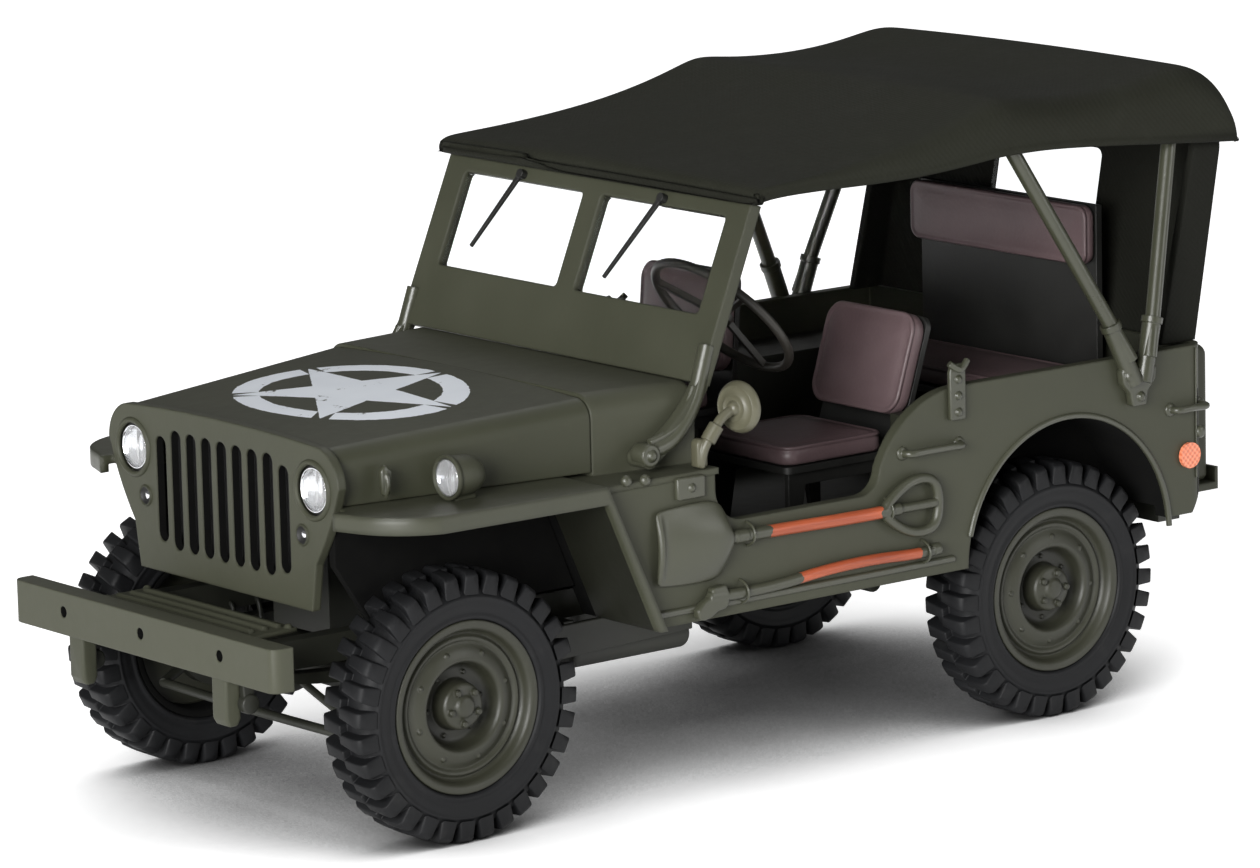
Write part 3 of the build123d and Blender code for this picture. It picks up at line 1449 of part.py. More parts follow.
mirror_x = front_x - 20.2
mirror_y = tub_half_width
mirror_z = 24.2
mirror_radius = 1.45
mirror_depth = 0.8
mirror_foot_x = front_x - 17.9
mirror_foot = 0.7
mirror_foot_height = 1.8
mirror_arm = 0.28
mirror_foot_y = tub_half_width - mirror_foot
mirror_foot_z = shoulder_z + deck + gap
with BuildPart() as side_mirror:
    with BuildSketch(cross(mirror_x)):
        with Locations((mirror_y, mirror_z)):
            Circle(mirror_radius)
    extrude(amount=mirror_depth)
    fillet(side_mirror.faces().sort_by(Axis.X)[-1].edges(), 0.6 * mirror_depth)
    with BuildSketch(cross(mirror_foot_x)):
        with Locations((mirror_foot_y, mirror_foot_z + mirror_foot_height / 2)):
            Rectangle(mirror_foot, mirror_foot_height)
    extrude(amount=mirror_foot)
    arm_start = (mirror_foot_x + mirror_foot / 2, mirror_foot_y, mirror_foot_z + 0.8 * mirror_foot_height)
    arm_end = (mirror_x + mirror_depth / 2, mirror_y, mirror_z)
    reach = [b - a for a, b in zip(arm_start, arm_end)]
    with BuildSketch(Plane(origin=arm_start, z_dir=tuple(reach))):
        Circle(mirror_arm)
    extrude(amount=hypot(*reach))
save(side_mirror.part, "side_mirror")

reflector_radius = 0.85
reflector_depth = 0.25
reflector_x = tail_x + 1.85
reflector_z = tub_top_z - 7.2
with BuildPart() as side_reflector:
    with BuildSketch(side(tub_half_width + gap + reflector_depth)):
        with Locations((reflector_x, reflector_z)):
            Circle(reflector_radius)
    extrude(amount=reflector_depth)
save(both_sides(side_reflector.part), "side_reflectors")

rear_lamp_y = tub_half_width - 2.7
rear_lamp_z = tub_top_z - 2.3
rear_lamp_radius = 0.75
rear_lamp_depth = 0.45
lower_lamp_z = rear_lamp_z - 2.3
lower_lamp_radius = 0.6
with BuildPart() as rear_lamp:
    with BuildSketch(cross(tail_x - gap)):
        with Locations((rear_lamp_y, rear_lamp_z)):
            Circle(rear_lamp_radius)
        with Locations((rear_lamp_y, lower_lamp_z)):
            Circle(lower_lamp_radius)
    extrude(amount=-rear_lamp_depth)
save(both_sides(rear_lamp.part), "rear_lamps")

# -------------------------------------------------------------------- fuel can and rack
can_stand_off = 0.45
can_corner = 1.0
can_neck = 1.0              # height of the handles and the cap above the can's shoulders
can_handle = 0.7
can_cap_radius = 0.8
tray_sheet = 0.5
tray_lip = 1.0
rack_sheet = 0.3
rack_back_height = 5.2
can_front_x = tail_x - can_stand_off
with BuildPart() as fuel_can:
    with BuildSketch(level(can_z)):
        with Locations((can_front_x - can_depth / 2, can_y)):
            RectangleRounded(can_depth, can_width, can_corner)
    extrude(amount=can_height - can_neck + 2 * gap)
    fillet(fuel_can.faces().sort_by(Axis.Z)[-1].edges(), 0.6 * can_corner)
    with BuildSketch(side(can_y + can_width / 2 - 2 * can_handle)):
        with Locations((can_front_x - can_depth / 2, can_z + can_height - can_neck)):
            Rectangle(can_handle, can_neck)
    extrude(amount=can_width - 6 * can_handle)
    with BuildSketch(level(can_z + can_height - can_neck)):
        with Locations((can_front_x - can_depth / 2, can_y - can_width / 2 + 2 * can_cap_radius)):
            Circle(can_cap_radius)
    extrude(amount=can_neck - 2 * gap)
save(fuel_can.part, "fuel_can")

with BuildPart() as can_rack:
    with BuildSketch(level(can_z - gap - tray_sheet)):
        with Locations(((tail_x - gap + can_front_x - can_depth - rack_sheet) / 2, can_y)):
            Rectangle(tail_x - gap - can_front_x + can_depth + rack_sheet, can_width + 2 * rack_sheet)
    extrude(amount=tray_sheet)
    # back plate and the lip round the tray
    with BuildSketch(level(can_z - gap)):
        with Locations((tail_x - gap - rack_sheet / 2, can_y)):
            Rectangle(rack_sheet, can_width - 2 * can_corner)
    extrude(amount=rack_back_height)
    with BuildSketch(level(can_z - gap)):
        with Locations((can_front_x - can_depth - gap - (rack_sheet - gap) / 2, can_y)):
            Rectangle(rack_sheet - gap, can_width + 2 * rack_sheet)
    extrude(amount=tray_lip)
save(can_rack.part, "can_rack")

# ----------------------------------------------------------------------------- wheels
# Each wheel is made about the origin with its outer side towards +y, then placed.
hub_bore = pin_radius + 0.02
rim_half_width = 1.7
lip_width = 0.3
cap_radius = 0.8
cap_face = 1.65             # distances along the axle are from the wheel's middle plane
flange_radius = 1.5
hub_floor = 0.85
dish_radius = 2.4
dish_face = 1.3
ridge_radius = 4.2
tube_radius = 1.2
tube_step = 0.2
pin_end = 1.2
pin_play = 0.1              # end play of the pin between the two wheels' hubs
with BuildPart() as rim_form:
    with BuildSketch(Plane.XY):
        with BuildLine():
            Polyline(
                # cap, flange and the sunk ring with the nuts
                (0, cap_face),
                (cap_radius, cap_face),
                (cap_radius + 0.15, cap_face - 0.3),
                (flange_radius, cap_face - 0.35),
                (flange_radius + 0.15, hub_floor),
                (dish_radius - 0.25, hub_floor),
                # dish with its ridge, then the rolled lip
                (dish_radius, dish_face),
                (dish_radius + 1.0, dish_face - 0.25),
                (ridge_radius - 0.3, dish_face - 0.5),
                (ridge_radius, dish_face - 0.2),
                (ridge_radius + 0.3, dish_face - 0.4),
                (rim_radius - 2 * lip_width, dish_face - 0.05),
                (rim_radius - lip_width, rim_half_width),
                (rim_radius, rim_half_width),
                # back of the wheel and the tube round the pin
                (rim_radius, -rim_half_width),
                (rim_radius - 0.5, -rim_half_width),
                (rim_radius - 2 * lip_width, 0.2),
                (dish_radius + 1.3, 0.15),
                (dish_radius, 0.6),
                (tube_radius + 0.1, 0.1),
                (tube_radius, -rim_half_width - tube_step),
                (hub_bore, -rim_half_width - tube_step),
                (hub_bore, pin_end),
                (0, pin_end),
                close=True,
            )
        make_face()
    revolve(axis=Axis.Y)

# The tyre: two halves of flat-sided lugs, half a pitch apart, on flat-sided side walls.
lug_share = 0.56            # of the pitch, at the lug's tip
ring_sides = 16             # flats round the side walls and the bore
tyre_bore = (rim_radius + gap) / cos(pi / ring_sides)
side_wall_step = 0.4
side_wall_radius = tyre_radius - 1.9
shoulder_radius = tyre_radius - 1.1


def lug_ring(phase):
    """Outline of one half of the tread: lugs standing on the carcass."""
    pitch = 2 * pi / lug_count
    points = []
    for k in range(lug_count):
        for radius, at in (
            (tyre_radius - lug_height, 0.0),
            (tyre_radius, 0.06),
            (tyre_radius, lug_share),
            (tyre_radius - lug_height, lug_share + 0.06),
        ):
            angle = (k + phase + at) * pitch
            points.append((radius * cos(angle), radius * sin(angle)))
    return points


with BuildPart() as tyre_form:
    for s in (1, -1):
        with BuildSketch(Plane.XZ):
            with BuildLine():
                Polyline(*lug_ring(0.25 * s), close=True)
            make_face()
        extrude(amount=-s * (tyre_width / 2 - side_wall_step))
        step_plane = Plane.XZ.offset(-s * (tyre_width / 2 - side_wall_step))
        with BuildSketch(step_plane):
            RegularPolygon(shoulder_radius, ring_sides)
        with BuildSketch(step_plane.offset(-s * side_wall_step)):
            RegularPolygon(side_wall_radius, ring_sides)
        loft()
    with BuildSketch(Plane.XZ.offset(-tyre_width)):
        RegularPolygon(tyre_bore, ring_sides)
    extrude(amount=2 * tyre_width, mode=Mode.SUBTRACT)

for end, axle_x in (("front", front_x), ("rear", rear_x)):
    with BuildPart() as axle_pin:
        with BuildSketch(side(wheel_y + pin_end - pin_play)):
            with Locations((axle_x, axle_z)):
                Circle(pin_radius)
        extrude(amount=2 * (wheel_y + pin_end - pin_play))
    save(axle_pin.part, f"{end}_axle_pin")
    for name, s in SIDES:
        place = Location((axle_x, s * wheel_y, axle_z), (0, 0, 90 - 90 * s))
        save(rim_form.part.moved(place), f"{end}_rim_{name}")
        save(tyre_form.part.moved(place), f"{end}_tyre_{name}")

spare_x = tail_x - spare_stand_off - tyre_width / 2
spare_place = Location((spare_x, spare_y, spare_z), (0, 0, 90))
save(rim_form.part.moved(spare_place), "spare_rim")
save(tyre_form.part.moved(spare_place), "spare_tyre")

bracket_radius = 2.6
bracket_pin = 2.4
with BuildPart() as spare_bracket:
    with BuildSketch(cross(tail_x - gap)):
        with Locations((spare_y, spare_z)):
            Circle(bracket_radius)
    extrude(amount=-(spare_stand_off + tyre_width / 2 - rim_half_width - tube_step - 2 * gap))
    with BuildSketch(cross(tail_x - gap)):
        with Locations((spare_y, spare_z)):
            Circle(pin_radius - gap)
    extrude(amount=-bracket_pin)
save(spare_bracket.part, "spare_bracket")
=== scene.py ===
from math import cos, pi, radians, sin

import bmesh
import bpy
from mathutils import Matrix, Vector


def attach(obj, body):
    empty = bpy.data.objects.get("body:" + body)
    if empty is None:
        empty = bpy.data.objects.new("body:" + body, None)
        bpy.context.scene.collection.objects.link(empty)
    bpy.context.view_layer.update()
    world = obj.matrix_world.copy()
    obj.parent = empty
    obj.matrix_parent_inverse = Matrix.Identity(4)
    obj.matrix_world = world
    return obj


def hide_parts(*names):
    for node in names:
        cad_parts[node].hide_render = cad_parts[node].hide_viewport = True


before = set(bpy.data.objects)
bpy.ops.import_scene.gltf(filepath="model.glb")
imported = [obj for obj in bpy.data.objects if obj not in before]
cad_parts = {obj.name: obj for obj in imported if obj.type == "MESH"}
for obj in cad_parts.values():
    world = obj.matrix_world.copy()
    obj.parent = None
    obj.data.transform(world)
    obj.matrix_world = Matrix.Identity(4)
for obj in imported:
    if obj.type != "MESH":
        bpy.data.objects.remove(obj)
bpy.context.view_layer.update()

# ---------------------------------------------------------------------------------------------
# View. A long lens looks at the front left corner from about eleven degrees above the floor,
# rolled by a little over one degree.

MM = 0.001
view_from = Vector((251.346, 321.750, 98.244)) * MM
view_azimuth = radians(52.08)
view_elevation = radians(10.918)
view_roll = -0.023881
lens_mm = 185.16
film_mm = 36.0

lens_back = Vector((
    cos(view_azimuth) * cos(view_elevation), sin(view_azimuth) * cos(view_elevation), sin(view_elevation)))
level_right = (-lens_back).cross(Vector((0, 0, 1))).normalized()
level_up = level_right.cross(-lens_back)
view_right = level_right * cos(view_roll) + level_up * sin(view_roll)
view_up = level_up * cos(view_roll) - level_right * sin(view_roll)

camera_data = bpy.data.cameras.new("camera")
camera_data.lens = lens_mm
camera_data.sensor_width = film_mm
camera_data.clip_start = 0.02
camera_data.clip_end = 20.0
camera = bpy.data.objects.new("camera", camera_data)
camera.matrix_world = Matrix((
    (view_right.x, view_up.x, lens_back.x, view_from.x),
    (view_right.y, view_up.y, lens_back.y, view_from.y),
    (view_right.z, view_up.z, lens_back.z, view_from.z),
    (0, 0, 0, 1),
))
bpy.context.scene.collection.objects.link(camera)
bpy.context.scene.camera = camera


# ---------------------------------------------------------------------------------------------
# Studio. A matt white table top runs on past all that the lens takes in, with a painted shadow where
# the car stands close over it. A key panel at the front left, an overhead panel and two fills light it.

class Wire:
    """A socket's value in an expression: the operators add Math nodes."""

    def __init__(self, shade, socket):
        self.shade = shade
        self.socket = socket

    def math(self, operation, *others):
        return self.shade.math(operation, self, *others)

    def __add__(self, other):
        return self.math("ADD", other)

    __radd__ = __add__

    def __mul__(self, other):
        return self.math("MULTIPLY", other)

    __rmul__ = __mul__

    def __sub__(self, other):
        return self.math("SUBTRACT", other)

    def __rsub__(self, other):
        return self.shade.math("SUBTRACT", other, self)

    def __truediv__(self, other):
        return self.math("DIVIDE", other)

    def __rtruediv__(self, other):
        return self.shade.math("DIVIDE", other, self)

    def __abs__(self):
        return self.math("ABSOLUTE")

    def __pow__(self, other):
        return self.math("POWER", other)

    def __lt__(self, other):
        return self.math("LESS_THAN", other)

    def __gt__(self, other):
        return self.math("GREATER_THAN", other)


class Shade:
    """One material's nodes."""

    def __init__(self, name):
        self.material = bpy.data.materials.new(name)
        self.material.use_nodes = True
        self.nodes = self.material.node_tree.nodes
        self.links = self.material.node_tree.links
        self.nodes.clear()
        self.place = self.node("ShaderNodeTexCoord", out="Object")

    def feed(self, socket, value):
        if isinstance(value, Wire):
            self.links.new(value.socket, socket)
        elif socket.type == "RGBA" and len(value) == 3:
            socket.default_value = (*value, 1.0)
        else:
            socket.default_value = value

    def node(self, kind, settings=None, out=0, **sockets):
        """Any node: sockets are set by name, with _ for a space, or by place as i0, i1 and so on."""
        made = self.nodes.new(kind)
        for key, value in (settings or {}).items():
            setattr(made, key, value)
        for key, value in sockets.items():
            self.feed(made.inputs[int(key[1:]) if key[1:].isdigit() else key.replace("_", " ")], value)
        return Wire(self, made.outputs[out]) if made.outputs else None

    def math(self, operation, *values):
        made = self.nodes.new("ShaderNodeMath")
        made.operation = operation
        for socket, value in zip(made.inputs, values):
            self.feed(socket, value)
        return Wire(self, made.outputs[0])

    def noise(self, scale, detail=3.0, rough=0.5, where=None):
        return self.node("ShaderNodeTexNoise", out="Fac", Vector=where or self.place,
                         Scale=scale, Detail=detail, Roughness=rough)

    def spread(self, value, low, high, to_low=0.0, to_high=1.0):
        return self.node("ShaderNodeMapRange", {"clamp": True}, i0=value, i1=low, i2=high, i3=to_low, i4=to_high)

    def mix(self, factor, first, second):
        return self.node("ShaderNodeMix", {"data_type": "RGBA"}, out=2, i0=factor, i6=first, i7=second)

    def axes(self):
        parts = self.nodes.new("ShaderNodeSeparateXYZ")
        self.links.new(self.place.socket, parts.inputs[0])
        return [Wire(self, socket) for socket in parts.outputs]

    def bump(self, height, distance, strength=1.0, under=None):
        sockets = {"Height": height, "Distance": distance, "Strength": strength}
        if under is not None:
            sockets["Normal"] = under
        return self.node("ShaderNodeBump", **sockets)

    def soft_edge(self, edge_mm):
        """A normal that looks as if sharp edges were rounded, to feed a bump."""
        return self.node("ShaderNodeBevel", {"samples": 4}, Radius=edge_mm * MM)

    def finish(self, **sockets):
        shader = self.node("ShaderNodeBsdfPrincipled", **sockets)
        self.node("ShaderNodeOutputMaterial", Surface=shader)
        return self.material

    def half_black(self, mask, **sockets):
        """The same, but dull black where the mask is 1: painted shade in hollows, and the bare black plastic behind the
        rims.
        """
        paint = self.node("ShaderNodeBsdfPrincipled", **sockets)
        shade_and_bare_black_colour = self.mix(self.noise(800.0), (0.003, 0.003, 0.003), (0.006, 0.006, 0.0055))
        shade_and_bare_black = self.node("ShaderNodeBsdfPrincipled", Base_Color=shade_and_bare_black_colour, Roughness=0.9, Specular_IOR_Level=0.08)
        self.node("ShaderNodeOutputMaterial", Surface=self.node("ShaderNodeMixShader", i0=mask, i1=paint, i2=shade_and_bare_black))
        return self.material


floor_white = 0.90
floor_painted_shadow = 0.045
floor_glow = 0.80
shadow_reach = 21.0
table_half = 6.0
table_shade = Shade("matt white table top")
table_patch = table_shade.noise(9.0, 2.0)
# the table's colour and its glow fall away where the car stands close over it: a painted contact shadow
table_near = table_shade.node("ShaderNodeAmbientOcclusion", {"samples": 12}, out="AO", Distance=shadow_reach * MM)
table_open = table_shade.spread(table_near, 0.32, 0.80)
table_tone = table_shade.mix(table_patch, (floor_white,) * 3, (floor_white * 0.985, floor_white * 0.99, floor_white))
ray = table_shade.nodes.new("ShaderNodeLightPath")
seen = sum((Wire(table_shade, ray.outputs[f"Is {kind} Ray"]) for kind in ("Glossy", "Transmission")),
           Wire(table_shade, ray.outputs["Is Camera Ray"]))
table_finish = table_shade.finish(
    Base_Color=table_shade.mix(table_shade.spread(table_near, 0.12, 0.62), (floor_painted_shadow,) * 3, table_tone),
    Emission_Color=table_shade.mix(table_open * seen, (0.0,) * 3, (1.0,) * 3), Emission_Strength=floor_glow,
    Roughness=0.7, Specular_IOR_Level=0.2)

table_mesh = bpy.data.meshes.new("table top")
table_corners = [(x * table_half, y * table_half, 0) for x, y in ((-1, -1), (1, -1), (1, 1), (-1, 1))]
table_mesh.from_pydata(table_corners, [], [(0, 1, 2, 3)])
table = bpy.data.objects.new("table top", table_mesh)
table_mesh.materials.append(table_finish)
bpy.context.scene.collection.objects.link(table)

lamp_table = (
    # name, place in mm, aim in mm, width mm, power W
    ("overhead panel", (-120, 80, 640), (0, 0, 20), 500, 0.55),
    ("key panel", (590, 350, 180), (0, 0, 18), 320, 6.6),
    ("side fill", (-330, 520, 200), (0, 0, 18), 260, 0.8),
    ("back fill", (-360, -420, 640), (0, 0, 18), 300, 0.7),
)
for lamp_name, lamp_at, lamp_aim, lamp_width, lamp_power in lamp_table:
    lamp_data = bpy.data.lights.new(lamp_name, "AREA")
    lamp_data.shape = "SQUARE"
    lamp_data.size = lamp_width * MM
    lamp_data.energy = lamp_power
    lamp = bpy.data.objects.new(lamp_name, lamp_data)
    lamp.location = Vector(lamp_at) * MM
    lamp.rotation_euler = (Vector(lamp_aim) - Vector(lamp_at)).to_track_quat("-Z", "Y").to_euler()
    bpy.context.scene.collection.objects.link(lamp)

room_light = 0.11
room = bpy.data.worlds.new("pale room")
room.use_nodes = True
room.node_tree.nodes["Background"].inputs["Color"].default_value = (1.0, 1.0, 1.0, 1.0)
room.node_tree.nodes["Background"].inputs["Strength"].default_value = room_light
bpy.context.scene.world = room
bpy.context.scene.view_settings.view_transform = "Standard"


# ---------------------------------------------------------------------------------------------
# Painted body. Tub, cowl, hood, grille panel, fenders and windshield frame are zinc castings under
# one coat of satin olive drab, a little lighter where the coat is thin.

olive = (0.047, 0.049, 0.031)
olive_thin = (0.062, 0.064, 0.043)
olive_deep = (0.034, 0.036, 0.022)
satin = 0.34


def olive_paint(name, light=olive_thin, middle=olive, dark=olive_deep, gloss=0.50, edge_mm=0.16):
    """Returns a paint's tree and its look, so that a marking or a shaded place can be laid over it."""
    shade = Shade(name)
    cloud = shade.noise(70.0, 3.0, 0.55)
    fleck = shade.noise(900.0, 2.0, 0.6)
    grain = shade.noise(2600.0, 2.0, 0.5)
    body = shade.mix(shade.spread(cloud, 0.35, 0.68), dark, light)
    colour = shade.mix(0.55, body, middle)
    colour = shade.mix(shade.spread(fleck, 0.60, 0.78, 0.0, 0.22), colour, light)
    rough = shade.spread(cloud + 0.35 * fleck, 0.4, 0.95, gloss - 0.05, gloss + 0.11)
    normal = shade.bump(grain, 0.000012, 0.55, under=shade.soft_edge(edge_mm))
    return shade, {"Base_Color": colour, "Roughness": rough, "Normal": normal}


def dress(finish, *names):
    """Gives carried-over solids a finish in every slot they have."""
    for name in names:
        for material_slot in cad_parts[name].material_slots:
            material_slot.material = finish


body_shade, body_look = olive_paint("satin olive paint", edge_mm=0.26)
body_paint = body_shade.finish(**body_look, Specular_IOR_Level=satin)
dress(body_paint, "cowl", "windshield_frame", "can_rack", "spare_bracket")

# thin tubes, tools and fittings took a thicker, glossier coat than the broad faces
trim_shade, trim_look = olive_paint("glossy trim paint", gloss=0.30, edge_mm=0.12)
trim_paint = trim_shade.finish(**trim_look, Specular_IOR_Level=0.6)
dress(trim_paint, "front_top_bow", "rear_top_bow")

# the inside of the rear arches is painted black as shade, and the cab's floor and walls are painted darker as shade
arch_x, arch_z, arch_radius = -21.7, 11.25, 8.6
arch_rear, arch_front, arch_top = -33.4, -12.4, 20.25
arch_inner, arch_outer = 11.2, 16.82
cab_half_width, cab_rear = 16.1, -33.25
tub_shade, tub_look = olive_paint("tub paint", edge_mm=0.26)
along, across, up = tub_shade.axes()
in_arch = ((abs(across) < arch_outer * MM) * (abs(across) > arch_inner * MM) * (up < arch_top * MM)
           * (along < arch_front * MM) * (along > arch_rear * MM))
in_cab = (abs(across) < cab_half_width * MM) * (along > cab_rear * MM)
tub_look["Base_Color"] = tub_shade.mix(in_cab * 0.75, tub_look["Base_Color"], (0.009, 0.0095, 0.0065))
tub_paint = tub_shade.half_black(in_arch, **tub_look, Specular_IOR_Level=satin)
dress(tub_paint, "body_tub")

# the underside of the front fenders is painted darker, and the walls beside the engine black, as shade
corner_x, corner_y = 27.15, 12.45
under_radius, under_top = 4.92, 20.28
inner_wall_y = 11.6
fender_shade, fender_look = olive_paint("fender paint", edge_mm=0.55)
along, across, up = fender_shade.axes()
past_middle = fender_shade.math("MAXIMUM", along - corner_x * MM, 0.0)
past_grille = fender_shade.math("MAXIMUM", abs(across) - corner_y * MM, 0.0)
from_corner = fender_shade.math("SQRT", past_middle * past_middle + past_grille * past_grille)
under_plate = (from_corner < under_radius * MM) * (up < under_top * MM)
inner_wall = under_plate * (abs(across) < inner_wall_y * MM)
fender_look["Base_Color"] = fender_shade.mix(under_plate, fender_look["Base_Color"], (0.013, 0.0135, 0.009))
fender_look["Roughness"] = fender_look["Roughness"] - 0.10
fender_paint = fender_shade.half_black(inner_wall, **fender_look, Specular_IOR_Level=0.45)

# the walls of the nine grille slots are painted black as the pressing's shade
slots_half_width, slots_low, slots_high, slots_front = 7.35, 15.75, 23.6, 32.30
slot_shade, slot_look = olive_paint("grille paint", edge_mm=0.22)
deep, across, up = slot_shade.axes()
in_slots = ((abs(across) < slots_half_width * MM) * (up > slots_low * MM) * (up < slots_high * MM)
            * (deep < slots_front * MM))
grille_paint = slot_shade.half_black(in_slots, **slot_look, Specular_IOR_Level=satin)
dress(grille_paint, "grille_panel")

# hood marking: a plain five-pointed star, one point to the windshield, in a stencilled ring that is
# open at the five points; star_waist is how far a star's edge line passes its middle
star_middle = (22.4, -0.2)
star_reach = (6.5, 8.8)
star_turn = radians(275)
star_waist = 0.309
star_above = 23.5
ring_inner = 0.775
ring_gap = 0.075
sector = radians(72)
hood_shade, hood_look = olive_paint(
    "hood olive paint", (0.054, 0.056, 0.036), (0.040, 0.042, 0.026), (0.028, 0.030, 0.018), 0.46)
along, across, up = hood_shade.axes()
worn_line = (hood_shade.noise(1500.0, 2.0, 0.6) - 0.5) * 0.03
v = (along - star_middle[0] * MM) / (star_reach[0] * MM)
u = (across - star_middle[1] * MM) / (star_reach[1] * MM)
reach = hood_shade.math("SQRT", u * u + v * v) + worn_line
# whole sectors are added, because the remainder of a negative turn would be negative
turned_by = hood_shade.math("ARCTAN2", v, u) - star_turn + 10 * sector
from_point = abs(hood_shade.math("MODULO", turned_by + sector / 2, sector) - sector / 2)
in_star = (reach * hood_shade.math("COSINE", from_point - sector) < star_waist) * (reach < 0.99)
in_ring = (reach < 1.0) * (reach > ring_inner) * (hood_shade.math("SINE", from_point) * reach > ring_gap)
not_chipped = hood_shade.spread(hood_shade.noise(620.0, 4.0, 0.7), 0.30, 0.36)
marking = hood_shade.math("MAXIMUM", in_star, in_ring) * (up > star_above * MM) * not_chipped
star_white = hood_shade.mix(hood_shade.noise(240.0, 2.0), (0.74, 0.78, 0.84), (0.86, 0.90, 0.95))
hood_look["Base_Color"] = hood_shade.mix(marking, hood_look["Base_Color"], star_white)
hood_look["Normal"] = hood_shade.bump(marking, 0.00002, 0.4, under=hood_look["Normal"])
hood_paint = hood_shade.finish(**hood_look, Specular_IOR_Level=0.3)
dress(hood_paint, "hood")


# ---------------------------------------------------------------------------------------------
# Tyres. Black plastic rings pressed on the rims: a smooth side wall with one raised line,
# and two rows of military bar lugs, half a pitch apart, that wrap over the shoulders.

axle_height = 8.36
axle_x = {"front": 25.7, "rear": -21.8}
wheel_middle_y = 13.9
tyre_radius = 8.36
lug_count = 32


def mesh_piece(name, shape, finish=None, smooth=True, sharp=None):
    """Puts a bmesh in a named object; sharp is the crease angle in degrees. A part that is joined
    to others later gets its finish then."""
    bmesh.ops.remove_doubles(shape, verts=shape.verts, dist=0.00002)
    bmesh.ops.recalc_face_normals(shape, faces=shape.faces)
    mesh = bpy.data.meshes.new(name)
    shape.to_mesh(mesh)
    shape.free()
    piece = bpy.data.objects.new(name, mesh)
    bpy.context.scene.collection.objects.link(piece)
    if finish is not None:
        mesh.materials.append(finish)
    if smooth:
        mesh.shade_smooth()
        if sharp is not None:
            mesh.set_sharp_from_angle(angle=radians(sharp))
    return piece


def settle(piece):
    """Turns the piece's live modifiers into plain mesh."""
    view = bpy.context.evaluated_depsgraph_get()
    plain = bpy.data.meshes.new_from_object(piece.evaluated_get(view))
    piece.modifiers.clear()
    piece.data = plain
    return piece


def skin(shape, rows, closed=True):
    """Lays faces between rows of as many vertices each, all the way round or from edge to edge."""
    for one, two in zip(rows, rows[1:]):
        for k in range(len(one) if closed else len(one) - 1):
            m = (k + 1) % len(one)
            shape.faces.new((one[k], one[m], two[m], two[k]))


def turned(profile, steps):
    """Spins points (radius, along y), in mm, about the y axis into a bmesh; radius 0 closes a pole."""
    shape = bmesh.new()
    rings = []
    for radius, along in profile:
        if radius == 0:
            rings.append([shape.verts.new((0, along * MM, 0))])
            continue
        rings.append([
            shape.verts.new((radius * MM * cos(2 * pi * k / steps), along * MM, radius * MM * sin(2 * pi * k / steps)))
            for k in range(steps)
        ])
    for one, two in zip(rings, rings[1:]):
        for k in range(steps):
            corners = [one[k % len(one)], one[(k + 1) % len(one)], two[(k + 1) % len(two)], two[k % len(two)]]
            corners = list(dict.fromkeys(corners))
            if len(corners) > 2:
                shape.faces.new(corners)
    return shape


def node_tree(name, inputs):
    """A Geometry Nodes tree with named inputs, its geometry input and output, and a node maker."""
    tree = bpy.data.node_groups.new(name, "GeometryNodeTree")
    tree.interface.new_socket("Geometry", in_out="INPUT", socket_type="NodeSocketGeometry")
    for socket_name, kind in inputs:
        tree.interface.new_socket(socket_name, in_out="INPUT", socket_type=kind)
    tree.interface.new_socket("Geometry", in_out="OUTPUT", socket_type="NodeSocketGeometry")

    def add(kind, settings=None, **sockets):
        made = tree.nodes.new(kind)
        for key, value in (settings or {}).items():
            setattr(made, key, value)
        for key, value in sockets.items():
            socket = made.inputs[int(key[1:])] if key[1:].isdigit() else made.inputs[key.replace("_", " ")]
            if isinstance(value, bpy.types.NodeSocket):
                tree.links.new(value, socket)
            else:
                socket.default_value = value
        return made

    return tree, add, add("NodeGroupInput"), add("NodeGroupOutput")


def realised_and_joined(tree, add, source, result, copies):
    """Ends a tree: the copies become plain mesh in their finish, beside the piece itself."""
    real = add("GeometryNodeRealizeInstances", Geometry=copies.outputs[0])
    dressed = add("GeometryNodeSetMaterial", Geometry=real.outputs[0], Material=source.outputs["Finish"])
    both = add("GeometryNodeJoinGeometry")
    tree.links.new(dressed.outputs[0], both.inputs[0])
    tree.links.new(source.outputs["Geometry"], both.inputs[0])
    tree.links.new(both.outputs[0], result.inputs[0])


def with_tree(piece, tree, **values):
    """Runs a tree on a piece with its inputs set by name, and keeps the plain result."""
    modifier = piece.modifiers.new(tree.name, "NODES")
    modifier.node_group = tree
    for socket in tree.interface.items_tree:
        if socket.in_out == "INPUT" and socket.name in values:
            modifier[socket.identifier] = values[socket.name]
    return settle(piece)


ring_tree, add, source, result = node_tree("ring of like parts", (
    ("Part", "NodeSocketObject"), ("Count", "NodeSocketInt"), ("Radius", "NodeSocketFloat"),
    ("Phase", "NodeSocketFloat"), ("Finish", "NodeSocketMaterial")))
seats_on_ring = add("GeometryNodeMeshCircle", Vertices=source.outputs["Count"], Radius=source.outputs["Radius"])
turn_step = add("ShaderNodeMath", {"operation": "DIVIDE"}, i0=2 * pi, i1=source.outputs["Count"])
turn_each = add("ShaderNodeMath", {"operation": "MULTIPLY"}, i0=add("GeometryNodeInputIndex").outputs[0],
                i1=turn_step.outputs[0])
face_out = add("ShaderNodeCombineXYZ", Z=turn_each.outputs[0])
part_shape = add("GeometryNodeObjectInfo", Object=source.outputs["Part"])
on_ring = add("GeometryNodeInstanceOnPoints", Points=seats_on_ring.outputs[0], Instance=part_shape.outputs["Geometry"],
              Rotation=add("FunctionNodeEulerToRotation", Euler=face_out.outputs[0]).outputs[0])
ring_turned = add("GeometryNodeTransform", Geometry=on_ring.outputs[0],
                  Rotation=add("ShaderNodeCombineXYZ", Z=source.outputs["Phase"]).outputs[0])
ring_upright = add("GeometryNodeTransform", Geometry=ring_turned.outputs[0], Rotation=(-pi / 2, 0, 0))
realised_and_joined(ring_tree, add, source, result, ring_upright)

